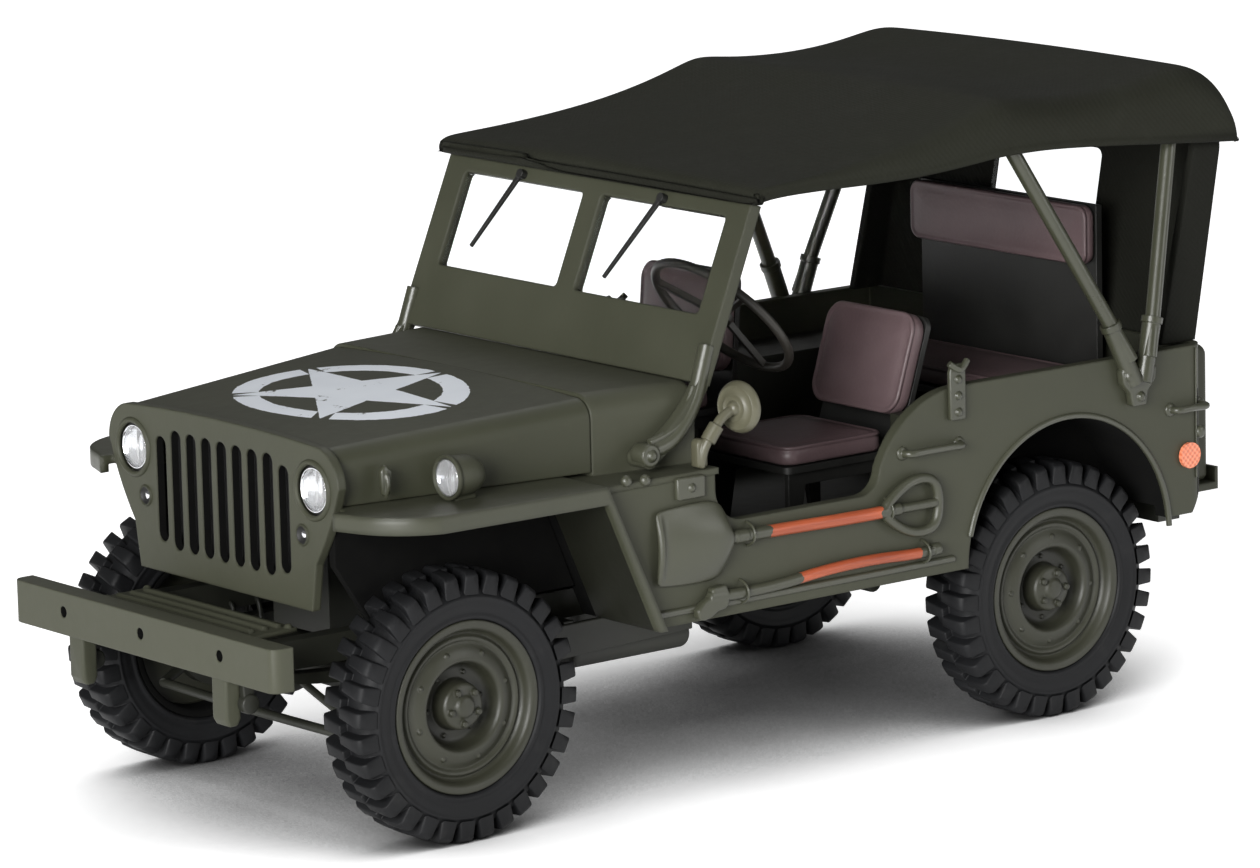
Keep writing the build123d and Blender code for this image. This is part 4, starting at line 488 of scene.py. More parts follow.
rubber_shade = Shade("black tyre plastic")
rubber_cloud = rubber_shade.noise(160.0, 3.0, 0.6)
rubber_grain = rubber_shade.noise(3200.0, 2.0, 0.5)
rubber_dust = rubber_shade.noise(420.0, 4.0, 0.65)
rubber_colour = rubber_shade.mix(
    rubber_shade.spread(rubber_cloud, 0.35, 0.7), (0.0060, 0.0062, 0.0068), (0.0105, 0.0108, 0.0118))
rubber_colour = rubber_shade.mix(
    rubber_shade.spread(rubber_dust, 0.58, 0.8, 0.0, 0.35), rubber_colour, (0.030, 0.0295, 0.028))
rubber = rubber_shade.finish(
    Base_Color=rubber_colour, Roughness=rubber_shade.spread(rubber_cloud, 0.3, 0.75, 0.50, 0.64),
    Normal=rubber_shade.bump(rubber_grain, 0.000015, 0.5, under=rubber_shade.soft_edge(0.09)), Specular_IOR_Level=0.22)

lug_shape = bmesh.new()
lug_sections = (
    # across the tread, half width at the base, half width at the tip, base radius, tip radius, slant
    (-0.06, 0.40, 0.34, 7.55, 8.36, -0.16),
    (0.95, 0.46, 0.40, 7.50, 8.36, 0.0),
    (1.58, 0.54, 0.46, 7.30, 8.33, 0.10),
    (1.86, 0.56, 0.47, 7.05, 8.12, 0.14),
    (1.94, 0.50, 0.40, 6.95, 7.42, 0.15),
)
lug_rows = []
for across, base_half, tip_half, base_r, tip_r, slant in lug_sections:
    lug_rows.append([
        lug_shape.verts.new(((radius - tyre_radius) * MM, (slant + y) * MM, across * MM))
        for radius, y in ((base_r, -base_half), (tip_r, -tip_half), (tip_r, tip_half), (base_r, base_half))
    ])
skin(lug_shape, lug_rows, closed=False)
lug_shape.faces.new(lug_rows[0])
lug_shape.faces.new(lug_rows[-1][::-1])
lug = mesh_piece("lug pattern", lug_shape, rubber)
lug_bevel = lug.modifiers.new("worn edges", "BEVEL")
lug_bevel.width = 0.09 * MM
lug_bevel.segments = 2
lug_bevel.limit_method = "ANGLE"
lug_bevel.angle_limit = radians(40)
settle(lug)
lug_mirror = lug.copy()
lug_mirror.data = lug.data.copy()
lug_mirror.data.transform(Matrix.Diagonal((1, -1, -1, 1)))
bpy.context.scene.collection.objects.link(lug_mirror)

wall_profile = [
    (5.36, 1.30), (5.38, 1.62), (5.50, 1.78), (5.66, 1.80), (5.76, 1.72), (5.86, 1.72), (6.1, 1.82),
    (6.45, 1.88), (6.62, 1.86), (6.68, 1.92), (6.80, 1.92), (6.86, 1.84), (7.12, 1.74), (7.42, 1.52),
    (7.66, 1.18), (7.76, 0.7), (7.79, 0.3), (7.79, 0.0),
]
tyre_profile = wall_profile + [(radius, -along) for radius, along in wall_profile[-2::-1]]
tyre_steps = 96


def at(x, y, z):
    """Moves a shape to a place, in mm."""
    return Matrix.Translation(Vector((x, y, z)) * MM)


first_roll = {"front": radians(7), "rear": radians(31)}
spare_middle = (-36.85, -6.2, 18.2)
wheel_places = [("spare", "", "car", at(*spare_middle) @ Matrix.Rotation(radians(90), 4, "Z"))]
for end, x in axle_x.items():
    for hand, s in (("left", 1), ("right", -1)):
        middle = at(x, s * wheel_middle_y, axle_height)
        turn = Matrix.Rotation(0 if s > 0 else pi, 4, "Z")
        roll = Matrix.Rotation(first_roll[end], 4, "Y")
        wheel_places.append((end, hand, f"{end}_wheelset", middle @ turn @ roll))


def fixed(piece, slot_name, *replaced, body="car"):
    """Fixes a finished piece to one of the bodies, for the solids it replaces, if any."""
    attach(piece, body)
    if replaced:
        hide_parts(*replaced)


for end, hand, body, place in wheel_places:
    tyre = mesh_piece(f"tyre_{end}_{hand}".rstrip("_"), turned(tyre_profile, tyre_steps), rubber)
    for part, phase in ((lug, 0.0), (lug_mirror, pi / lug_count)):
        with_tree(tyre, ring_tree, Part=part, Count=lug_count, Radius=tyre_radius * MM, Phase=phase, Finish=rubber)
    tyre.data.transform(place)
    fixed(tyre, "tyre", f"{end}_tyre_{hand}".rstrip("_"), body=body)


# ---------------------------------------------------------------------------------------------
# Wheels. One-piece pressed rims with a rolled lip, a shallow dish with two ridges and eight
# rivets, and a sunk hub with five nuts and a bolted flange, all in the body's olive.

rim_profile = [
    (0, 1.62), (0.46, 1.62), (0.62, 1.56), (0.70, 1.40), (0.78, 1.36), (1.24, 1.32), (1.40, 1.24), (1.47, 1.06),
    (1.52, 0.50), (1.62, 0.16), (2.10, 0.16), (2.40, 0.24), (2.58, 0.62), (2.66, 1.04), (2.78, 1.26), (2.92, 1.32),
    (3.04, 1.30), (3.36, 1.20), (3.62, 1.08), (3.76, 0.98), (3.90, 0.92), (4.00, 0.98), (4.12, 1.12), (4.24, 1.12),
    (4.34, 0.98), (4.44, 0.90), (4.56, 0.96), (4.66, 1.20), (4.74, 1.48), (4.84, 1.60), (4.98, 1.66), (5.20, 1.70),
    (5.31, 1.67), (5.35, 1.58), (5.35, -1.60), (5.30, -1.70), (5.05, -1.70), (4.88, -1.60), (4.80, -1.3), (4.74, 0.20),
    (3.70, 0.12), (2.40, 0.02), (1.34, -0.05), (1.22, -1.85), (1.16, -1.9), (0.58, -1.9), (0.58, 1.20), (0, 1.20),
]
rim_steps = 72
# the dish's sunk ring round the hub is painted dark as shade, and no paint reached the rim's inner side
recess_inner = (1.40, 1.55)
recess_outer = (2.35, 2.85)
rim_inside = (13.84, 13.90)
wheel_tones = ((0.043, 0.044, 0.030), (0.031, 0.032, 0.021), (0.020, 0.020, 0.013), 0.46)
rim_shade, rim_look = olive_paint("wheel olive paint", *wheel_tones)
rim_x, rim_y, rim_z = rim_shade.axes()
axle_middle = (axle_x["front"] + axle_x["rear"]) / 2
half_wheelbase = (axle_x["front"] - axle_x["rear"]) / 2
from_axle_x = abs(rim_x - axle_middle * MM) - half_wheelbase * MM
from_axle = rim_shade.math("SQRT", from_axle_x * from_axle_x + (rim_z - axle_height * MM) ** 2)
in_recess = (rim_shade.spread(from_axle, recess_inner[0] * MM, recess_inner[1] * MM)
             * rim_shade.spread(from_axle, recess_outer[1] * MM, recess_outer[0] * MM))
rim_look["Base_Color"] = rim_shade.mix(in_recess * 0.72, rim_look["Base_Color"], (0.008, 0.008, 0.005))
rim_look["Roughness"] = rim_look["Roughness"] - 0.06
unpainted = rim_shade.spread(abs(rim_y), rim_inside[1] * MM, rim_inside[0] * MM)
rim_paint = rim_shade.half_black(unpainted, **rim_look, Specular_IOR_Level=0.4)
spare_shade, spare_look = olive_paint("spare wheel paint", *wheel_tones)
spare_paint = spare_shade.finish(**spare_look, Specular_IOR_Level=0.3)

rivet_shape = bmesh.new()
bmesh.ops.create_uvsphere(rivet_shape, u_segments=12, v_segments=7, radius=0.17 * MM)
bmesh.ops.scale(rivet_shape, vec=(1, 1, 0.7), verts=rivet_shape.verts)
rivet = mesh_piece("rivet pattern", rivet_shape, rim_paint)


def bolt_head(name, across, height, sides=6):
    """A chamfered bolt head standing on z = 0, pointing along z."""
    shape = bmesh.new()
    rings = []
    for radius, z in ((across / 2, 0), (across / 2, height * 0.75), (across * 0.38, height)):
        rings.append([
            shape.verts.new((radius * MM * cos(2 * pi * k / sides), radius * MM * sin(2 * pi * k / sides), z * MM))
            for k in range(sides)
        ])
    skin(shape, rings)
    shape.faces.new(rings[0][::-1])
    shape.faces.new(rings[-1])
    return mesh_piece(name, shape, rim_paint, smooth=False)


wheel_nut = bolt_head("wheel nut pattern", 0.46, 0.32)
flange_bolt = bolt_head("flange bolt pattern", 0.30, 0.20)
rim_rings = (
    # part, count, radius, phase, height along y
    (rivet, 8, 3.42, 0.2, 1.15),
    (wheel_nut, 5, 1.06, 0.1, 1.30),
    (flange_bolt, 6, 2.02, 0.0, 0.15),
)
for end, hand, body, place in wheel_places:
    finish = spare_paint if end == "spare" else rim_paint
    rim = mesh_piece(f"rim_{end}_{hand}".rstrip("_"), turned(rim_profile, rim_steps), finish, sharp=50)
    for part, count, radius, phase, height in rim_rings:
        rim.data.transform(Matrix.Translation((0, -height * MM, 0)))
        with_tree(rim, ring_tree, Part=part, Count=count, Radius=radius * MM, Phase=phase, Finish=finish)
        rim.data.transform(Matrix.Translation((0, height * MM, 0)))
    rim.data.transform(place)
    fixed(rim, "olive_rim", f"{end}_rim_{hand}".rstrip("_"), body=body)

for pattern in (lug, lug_mirror, rivet, wheel_nut, flange_bolt):
    bpy.data.objects.remove(pattern)


# ---------------------------------------------------------------------------------------------
# Roof. A one-piece moulded top in dark canvas brown: it dips between the windshield and the two
# bows, rolls over the long edges into side bands, and ends in a thick hem all round.

roof_half_width = 16.4
roof_wall = 0.42
roof_line = (
    # x, height over the middle, radius of the rolled edge, drop of the edge below the middle
    (3.06, 36.98, 0.30, 0.12), (3.02, 37.30, 0.50, 0.16), (2.72, 37.58, 0.60, 0.18), (2.2, 37.72, 0.70, 0.22),
    (1.0, 37.82, 0.80, 0.26),
    (-2.0, 38.08, 0.90, 0.34), (-6.0, 38.58, 1.05, 0.40), (-10.0, 39.22, 1.30, 0.42), (-13.4, 39.94, 1.55, 0.36),
    (-15.6, 40.54, 1.80, 0.26), (-16.8, 40.88, 1.90, 0.20), (-17.6, 40.99, 2.00, 0.18), (-18.6, 40.93, 2.00, 0.20),
    (-21.0, 40.76, 2.00, 0.30), (-25.4, 40.70, 2.00, 0.38), (-29.4, 40.98, 2.05, 0.32), (-31.8, 41.34, 2.15, 0.22),
    (-33.2, 41.48, 2.20, 0.18), (-34.4, 41.36, 2.25, 0.18), (-35.6, 40.86, 2.25, 0.16), (-36.5, 40.02, 2.20, 0.12),
    (-37.05, 38.98, 2.10, 0.06), (-37.28, 37.90, 1.90, 0.0),
)
band_line = (
    # x, height of the side band's lower edge
    (3.06, 36.46), (1.6, 36.70), (-2.7, 36.73), (-8.4, 36.56), (-12.5, 36.78), (-16.7, 37.18), (-20.6, 37.26),
    (-25.2, 36.97), (-30.5, 36.53), (-34.5, 36.2), (-37.28, 36.0),
)
hem = (
    # out from the side wall, height over the band's lower edge
    (-0.02, 0.0), (0.06, 0.10), (0.08, 0.35), (0.02, 0.50), (-0.03, 0.56),
)
hem_top = 0.66
end_flaps = ((0, 36.44, 3.07), (-1, 36.0, -37.30))


def between(table, x):
    """The second column of a table at x, in a straight line between its rows, which run backwards."""
    for one, two in zip(table, table[1:]):
        if x >= two[0]:
            part = (one[0] - x) / (one[0] - two[0])
            return one[1] + (two[1] - one[1]) * min(max(part, 0.0), 1.0)
    return table[-1][1]


canvas_shade = Shade("dark canvas brown")
canvas_cloud = canvas_shade.noise(60.0, 3.0, 0.6)
canvas_x, canvas_y, canvas_up = canvas_shade.axes()
thread_rate = 15000.0
canvas_weave = (canvas_shade.math("SINE", canvas_x * thread_rate)
                * canvas_shade.math("SINE", (canvas_y + canvas_up) * thread_rate))
canvas_fleck = canvas_shade.noise(2200.0, 3.0, 0.6)
canvas_patch = canvas_shade.noise(380.0, 4.0, 0.6)
canvas_colour = canvas_shade.mix(
    canvas_shade.spread(canvas_cloud, 0.3, 0.7), (0.0150, 0.0155, 0.0105), (0.0215, 0.0225, 0.0160))
canvas_colour = canvas_shade.mix(
    canvas_shade.spread(canvas_patch, 0.55, 0.8, 0.0, 0.3), canvas_colour, (0.032, 0.032, 0.025))
# the canvas is painted darker from the lower edge of the roof's band downwards, the rear curtain with it, as shade
# under the roof
painted_shade_below_band = canvas_shade.spread(canvas_up, 37.1 * MM, 36.2 * MM)
canvas_colour = canvas_shade.mix(painted_shade_below_band * 0.65, canvas_colour, (0.005, 0.005, 0.0042))
canvas_relief = canvas_shade.bump(
    canvas_fleck + canvas_weave * 0.35, 0.00003, 0.6, under=canvas_shade.soft_edge(0.3))
canvas_finish = canvas_shade.finish(
    Base_Color=canvas_colour, Roughness=canvas_shade.spread(canvas_cloud + 0.3 * canvas_fleck, 0.4, 0.9, 0.62, 0.80),
    Normal=canvas_relief, Specular_IOR_Level=0.12)

roof_shape = bmesh.new()
roof_rows = []
for row, (x, top, roll, drop) in enumerate(roof_line):
    foot = min(between(band_line, x), top - 0.25)
    half = roof_half_width - (0.10 if row == 0 else 0.0)
    shoulder = top - drop
    across = [(half + out, foot + height) for out, height in hem]
    low = foot + hem_top
    side_top = max(shoulder - roll, low + 0.05)
    roll = shoulder - side_top
    across += [(half, low), (half, (low + side_top) / 2), (half, side_top)]
    for angle in (15, 30, 45, 60, 75):
        across.append((half - roll * (1 - cos(radians(angle))), side_top + roll * sin(radians(angle))))
    inner = half - roll
    for part in (1.0, 0.93, 0.8, 0.62, 0.42, 0.2):
        across.append((inner * part, shoulder + drop * (1 - part * part)))
    rows = across + [(0.0, top)] + [(-y, z) for y, z in across[::-1]]
    if row == 0:
        rows = [(y, min(z, top)) for y, z in rows]
    roof_rows.append([roof_shape.verts.new((x * MM, y * MM, z * MM)) for y, z in rows])
skin(roof_shape, roof_rows, closed=False)
# the ends turn down: a lip over the windshield frame and a flap over the rear curtain
for row, foot, x in end_flaps:
    rows = roof_rows[row]
    lower = [roof_shape.verts.new((x * MM, vertex.co.y, min(foot * MM, vertex.co.z))) for vertex in rows]
    for k in range(len(rows) - 1):
        if (rows[k].co - lower[k].co).length > 1e-6 or (rows[k + 1].co - lower[k + 1].co).length > 1e-6:
            roof_shape.faces.new((rows[k], rows[k + 1], lower[k + 1], lower[k]))
roof = mesh_piece("roof", roof_shape, canvas_finish)
if sum(face.normal.z * face.area for face in roof.data.polygons) < 0:
    roof.data.flip_normals()
roof_thick = roof.modifiers.new("wall", "SOLIDIFY")
roof_thick.thickness = roof_wall * MM
roof_thick.offset = -1.0
roof_round = roof.modifiers.new("soft", "SUBSURF")
roof_round.levels = 2
roof_round.render_levels = 2
settle(roof)
fixed(roof, "canvas", "soft_top")


# ---------------------------------------------------------------------------------------------
# Seats. Hard plastic pads moulded to look like stuffed leatherette, mauve brown, each with a
# raised welt round its face, on black pressed frames.

def rounded_outline(half_width, half_height, corner, inset, steps=7, straight=5):
    """Points round a rounded rectangle, moved in by inset."""
    a, b = half_width - inset, half_height - inset
    c = max(min(corner - inset * 0.75, a, b), 0.12)
    arcs = []
    for quarter, (sx, sy) in enumerate(((1, 1), (-1, 1), (-1, -1), (1, -1))):
        turns = [radians(90 * quarter) + radians(90 * k / steps) for k in range(steps + 1)]
        arcs.append([(sx * (a - c) + c * cos(turn), sy * (b - c) + c * sin(turn)) for turn in turns])
    points = []
    for arc, next_arc in zip(arcs, arcs[1:] + arcs[:1]):
        (x, y), (next_x, next_y) = arc[-1], next_arc[0]
        points += arc + [(x + (next_x - x) * k / straight, y + (next_y - y) * k / straight)
                         for k in range(1, straight)]
    return points


def pad(name, width, height, thickness, corner, crown, place):
    """A cushion lying on z = 0 with a welt round its face, put where place says."""
    t = thickness
    rows = (
        (0.30, 0.0), (0.08, 0.06), (0.0, 0.22), (0.0, t * 0.45), (0.03, t - 0.40), (0.09, t - 0.34), (0.02, t - 0.28),
        (-0.03, t - 0.18), (0.05, t - 0.08), (0.16, t - 0.06), (0.24, t - 0.12), (0.36, t - 0.13),
        (0.60, t - 0.13 + crown * 0.35), (1.0, t - 0.13 + crown * 0.65), (1.6, t - 0.13 + crown * 0.9),
        (2.2, t - 0.13 + crown),
    )
    shape = bmesh.new()
    rings = []
    for inset, z in rows:
        if inset < min(width, height) / 2 - 0.3:
            rings.append([shape.verts.new((x * MM, y * MM, z * MM))
                          for x, y in rounded_outline(width / 2, height / 2, corner, inset)])
    skin(shape, rings)
    for ring, z in ((rings[0], 0.0), (rings[-1], t - 0.13 + crown)):
        middle = shape.verts.new((0, 0, z * MM))
        for k in range(len(ring)):
            shape.faces.new((ring[k], ring[(k + 1) % len(ring)], middle))
    piece = mesh_piece(name, shape, leather)
    piece.data.transform(place)
    return piece


def seat_place(x, y, z, lean):
    """Stands a pad up with its face forward, leaning back by lean degrees, its foot at x, y, z in mm."""
    face = Vector((cos(radians(lean)), 0, sin(radians(lean))))
    up = Vector((-sin(radians(lean)), 0, cos(radians(lean))))
    across = Vector((0, 1, 0))
    return Matrix((
        (across.x, up.x, face.x, x * MM), (across.y, up.y, face.y, y * MM), (across.z, up.z, face.z, z * MM),
        (0, 0, 0, 1)))


leather_shade = Shade("mauve brown seat plastic")
leather_cloud = leather_shade.noise(130.0, 3.0, 0.6)
leather_grain = leather_shade.node("ShaderNodeTexVoronoi", {"feature": "F1"}, Vector=leather_shade.place, Scale=3600.0)
leather_fine = leather_shade.noise(1500.0, 3.0, 0.55)
leather_colour = leather_shade.mix(
    leather_shade.spread(leather_cloud, 0.32, 0.7), (0.088, 0.057, 0.060), (0.132, 0.090, 0.094))
leather_colour = leather_shade.mix(
    leather_shade.spread(leather_fine, 0.6, 0.8, 0.0, 0.25), leather_colour, (0.17, 0.125, 0.125))
leather = leather_shade.finish(
    Base_Color=leather_colour, Roughness=leather_shade.spread(leather_cloud + 0.3 * leather_fine, 0.4, 0.9, 0.36, 0.50),
    Normal=leather_shade.bump(
        leather_grain + leather_fine * 0.6, 0.00002, 0.5, under=leather_shade.soft_edge(0.1)))

cushion_thick = 1.3
front_seats = (
    # whose, back x, middle y, top of the cushion, lean of the backrest in degrees
    ("driver", -12.7, 6.4, 19.6, 18.0),
    ("passenger", -8.9, -6.4, 21.2, 5.0),
)
for name, back_x, y, top, lean in front_seats:
    base = pad(f"{name}_cushion", 8.2, 8.6, cushion_thick, 1.0, 0.22,
               at(back_x + 5.1, y, top - cushion_thick))
    rest = pad(f"{name}_backrest", 8.6, 6.6, 1.2, 1.3, 0.28,
               seat_place(back_x, y, top + 0.15, lean) @ at(0, 3.9, -0.6))
    for piece in (base, rest):
        fixed(piece, "seat", f"{name}_seat_pads")
rear_base = pad("rear_cushion", 6.8, 21.0, cushion_thick, 0.9, 0.20, at(-27.5, 0, 19.6))
rear_rest = pad("rear_backrest", 17.6, 3.9, 1.0, 0.8, 0.12, seat_place(-31.6, 0, 29.65, 0))
for piece in (rear_base, rear_rest):
    fixed(piece, "seat", "rear_seat_pads")


# ---------------------------------------------------------------------------------------------
# Running gear. Axle cases, springs, shafts, frame rails, gearbox and muffler are push-fit parts
# moulded in olive black plastic; the wheelsets turn on two turned steel pins.

def moulded(name, dark, light, rough, edge_mm=0.09, **constants):
    """A moulded plastic: soft clouds of tone, fine grain, a little dust, and worn edges."""
    shade = Shade(name)
    cloud = shade.noise(110.0, 3.0, 0.6)
    dust = shade.noise(700.0, 4.0, 0.65)
    colour = shade.mix(shade.spread(cloud, 0.32, 0.7), dark, light)
    dusty = tuple(min(1.0, part * 1.9 + 0.01) for part in light)
    colour = shade.mix(shade.spread(dust, 0.6, 0.82, 0.0, 0.3), colour, dusty)
    relief = shade.bump(shade.noise(1900.0, 2.0, 0.5), 0.000012, 0.5, under=shade.soft_edge(edge_mm))
    return shade.finish(Base_Color=colour, Roughness=shade.spread(cloud + 0.3 * dust, 0.4, 0.95, rough, rough + 0.14),
                        Normal=relief, **constants)


gear_plastic = moulded(
    "olive black plastic", (0.0125, 0.013, 0.0095), (0.022, 0.023, 0.017), 0.42, Specular_IOR_Level=0.35)
dress(gear_plastic, "chassis_frame", "front_axle_housing", "rear_axle_housing", "front_springs", "rear_springs",
      "power_unit", "drive_shafts", "muffler", "tow_hook")
radiator_plastic = moulded("radiator black", (0.006, 0.006, 0.006), (0.012, 0.012, 0.012), 0.6)
dress(radiator_plastic, "radiator")

pin_shade = Shade("turned steel")
pin_along = pin_shade.axes()[1]
pin_marks = pin_shade.noise(500.0, 3.0, 0.6)
pin_rings = pin_shade.math("SINE", pin_along * 42000.0)
pin_steel = pin_shade.finish(
    Base_Color=pin_shade.mix(pin_marks, (0.42, 0.42, 0.42), (0.58, 0.57, 0.56)), Metallic=1.0,
    Roughness=pin_shade.spread(pin_marks, 0.3, 0.7, 0.24, 0.40), Normal=pin_shade.bump(pin_rings, 0.000006, 0.4))
dress(pin_steel, "front_axle_pin", "rear_axle_pin")


# ---------------------------------------------------------------------------------------------
# Windshield and rear window. Clear polystyrene panes pressed in from behind, with faint moulding
# waves and a few hairline scratches.

pane_shade = Shade("clear pane")
pane_wave = pane_shade.noise(45.0, 2.0, 0.5)
pane_mark = pane_shade.noise(1400.0, 4.0, 0.7)
pane = pane_shade.finish(
    Base_Color=pane_shade.mix(pane_wave, (0.93, 0.95, 0.95), (0.97, 0.98, 0.98)), Transmission_Weight=1.0, IOR=1.12,
    Roughness=pane_shade.spread(pane_mark, 0.6, 0.85, 0.0, 0.08), Normal=pane_shade.bump(pane_wave, 0.00004, 0.25))
dress(pane, "windshield_glass", "rear_window")


# ---------------------------------------------------------------------------------------------
# Rear lamps and side reflectors. Discs of red and orange plastic with a fine prism grid, pressed
# into the tub's tail and sides.

def prism_plastic(name, deep, bright):
    """A coloured reflector face: a grid of tiny prisms under a gloss coat."""
    prism_rate = 15700.0
    shade = Shade(name)
    along_x, along_y, along_z = shade.axes()
    grid = shade.math("SINE", along_x * prism_rate) * shade.math("SINE", (along_z + along_y * 0.3) * prism_rate)
    cloud = shade.noise(380.0, 3.0, 0.6)
    colour = shade.mix(shade.spread(grid * 0.5 + cloud, 0.1, 1.0), deep, bright)
    return shade.finish(Base_Color=colour, Roughness=shade.spread(cloud, 0.3, 0.7, 0.16, 0.30), Coat_Weight=0.5,
                        Normal=shade.bump(grid, 0.00003, 0.6))


dress(prism_plastic("red lamp plastic", (0.20, 0.010, 0.006), (0.48, 0.030, 0.018)), "rear_lamps")
dress(prism_plastic("orange reflector plastic", (0.72, 0.17, 0.075), (0.98, 0.33, 0.18)), "side_reflectors")


# ---------------------------------------------------------------------------------------------
# Cab fittings. Steering wheel and column, levers, dashboard, seat frames and wipers: small
# mouldings in brown black, black or body colour, cemented in their holes.

cab_plastic = moulded(
    "brown black cab plastic", (0.016, 0.0145, 0.012), (0.030, 0.027, 0.022), 0.36, Specular_IOR_Level=0.4)
dress(cab_plastic, "steering_wheel", "steering_column", "levers")
frame_plastic = moulded("seat frame black", (0.008, 0.008, 0.0075), (0.016, 0.016, 0.0145), 0.40)
dress(frame_plastic, "driver_seat_frame", "passenger_seat_frame", "rear_seat_frame", "wipers")
dress(body_paint, "dashboard")


# ---------------------------------------------------------------------------------------------
# Rear curtain. A moulded back wall in the roof's canvas brown, from the roof band down to the
# tub, with an opening for the rear window.

dress(canvas_finish, "rear_curtain")


# ---------------------------------------------------------------------------------------------
# Front bumper. A solid moulded bar with rounded ends and edges, bolted to the frame horns, with
# three plain round holes in its face.

def slab(outline, low, high, place):
    """Raises a closed outline (u, v) from w = low to w = high; place turns (u, v, w) into x, y, z in mm."""
    shape = bmesh.new()
    ends = [[shape.verts.new(Vector(place(u, v, w)) * MM) for u, v in outline] for w in (low, high)]
    shape.faces.new(ends[0])
    shape.faces.new(ends[1][::-1])
    skin(shape, ends)
    return shape


def from_above(u, v, w):
    """An outline in x and y, raised along z."""
    return u, v, w


def from_front(u, v, w):
    """An outline in y and z, raised along x."""
    return w, u, v


def circle(radius, middle=(0.0, 0.0), steps=20):
    return [(middle[0] + radius * cos(2 * pi * k / steps), middle[1] + radius * sin(2 * pi * k / steps))
            for k in range(steps)]


def eased(piece, width_mm, segments=2, angle=32):
    """Rounds a piece's sharp edges and keeps the plain result."""
    bevel = piece.modifiers.new("eased edges", "BEVEL")
    bevel.width = width_mm * MM
    bevel.segments = segments
    bevel.limit_method = "ANGLE"
    bevel.angle_limit = radians(angle)
    level = piece.modifiers.new("level faces", "WEIGHTED_NORMAL")
    level.keep_sharp = True
    return settle(piece)


bar_face = 38.8
bar_low, bar_high = 11.0, 13.7
hole_y, hole_z = 8.46, 12.46
hole_radius = 0.36
hole_margin = 0.06
bar_shade, bar_look = olive_paint("bumper paint", olive_thin, olive_thin, olive)
# the walls of the three holes are painted black as shade
deep, across, up = bar_shade.axes()
from_outer_hole = (abs(across) - hole_y * MM) ** 2
from_hole = bar_shade.math(
    "SQRT", bar_shade.math("MINIMUM", from_outer_hole, across * across) + (up - hole_z * MM) ** 2)
in_hole = (from_hole < (hole_radius + hole_margin) * MM) * (deep < (bar_face - hole_margin) * MM)
bar_paint = bar_shade.half_black(in_hole, **bar_look, Specular_IOR_Level=satin)

bar_end = [(37.3, 14.1), (38.1, 14.1), (38.45, 14.02), (38.7, 13.8), (bar_face, 13.45)]
bar_outline = bar_end + [(x, -y) for x, y in reversed(bar_end)]
bumper = mesh_piece("front_bumper_bar", slab(bar_outline, bar_low, bar_high, from_above), bar_paint)
for middle in (-hole_y, 0.0, hole_y):
    drill = mesh_piece("drill", slab(circle(hole_radius, (middle, hole_z)), 37.5, 39.2, from_front), bar_paint)
    cut = bumper.modifiers.new("hole", "BOOLEAN")
    cut.object = drill
    cut.solver = "EXACT"
    settle(bumper)
    bpy.data.objects.remove(drill)
eased(bumper, 0.24, segments=3)
fixed(bumper, "olive_body", "front_bumper")


# ---------------------------------------------------------------------------------------------
# Steering rods, spring eyes and side rails. Thin rods moulded with the front axle, eyes, shackles
# and U-bolts of the four springs, a rail below each sill, and two hangers under the bumper.

def from_side(u, v, w):
    """An outline in x and z, raised along y."""
    return u, w, v


def side_plate(name, outline, near, far, edge_mm):
    """A plate with eased edges, cut to an outline in x and z, between two distances y from the middle."""
    return eased(mesh_piece(name, slab(outline, near, far, from_side)), edge_mm)


def oblong(low_x, high_x, low_z, high_z):
    return [(low_x, low_z), (high_x, low_z), (high_x, high_z), (low_x, high_z)]


def bent_tube(name, points, radius, closed=False, order=3):
    """A round bar along points, in mm, whose corners it rounds; order 2 keeps the corners."""
    line = bpy.data.curves.new(name, "CURVE")
    line.dimensions = "3D"
    line.bevel_depth = radius * MM
    line.bevel_resolution = 3
    line.resolution_u = 5
    line.use_fill_caps = True
    spline = line.splines.new("NURBS")
    spline.points.add(len(points) - 1)
    for control, point in zip(spline.points, points):
        control.co = (*(Vector(point) * MM), 1.0)
    spline.order_u = order
    spline.use_cyclic_u = closed
    spline.use_endpoint_u = not closed
    holder = bpy.data.objects.new(name, line)
    bpy.context.scene.collection.objects.link(holder)
    mesh = bpy.data.meshes.new_from_object(holder.evaluated_get(bpy.context.evaluated_depsgraph_get()))
    bpy.data.objects.remove(holder)
    shape = bmesh.new()
    shape.from_mesh(mesh)
    return mesh_piece(name, shape, sharp=50)


def joined(name, pieces, finish, both_hands=False):
    """One piece in one finish out of several, and where asked their mirror images at the other side."""
    shape = bmesh.new()
    for piece in pieces:
        shape.from_mesh(piece.data)
        if both_hands:
            image = piece.data.copy()
            image.transform(Matrix.Diagonal((1, -1, 1, 1)))
            image.flip_normals()
            shape.from_mesh(image)
    for piece in pieces:
        bpy.data.objects.remove(piece)
    for face in shape.faces:
        face.material_index = 0
    mesh = bpy.data.meshes.new(name)
    shape.to_mesh(mesh)
    shape.free()
    whole = bpy.data.objects.new(name, mesh)
    bpy.context.scene.collection.objects.link(whole)
    mesh.materials.append(finish)
    return whole


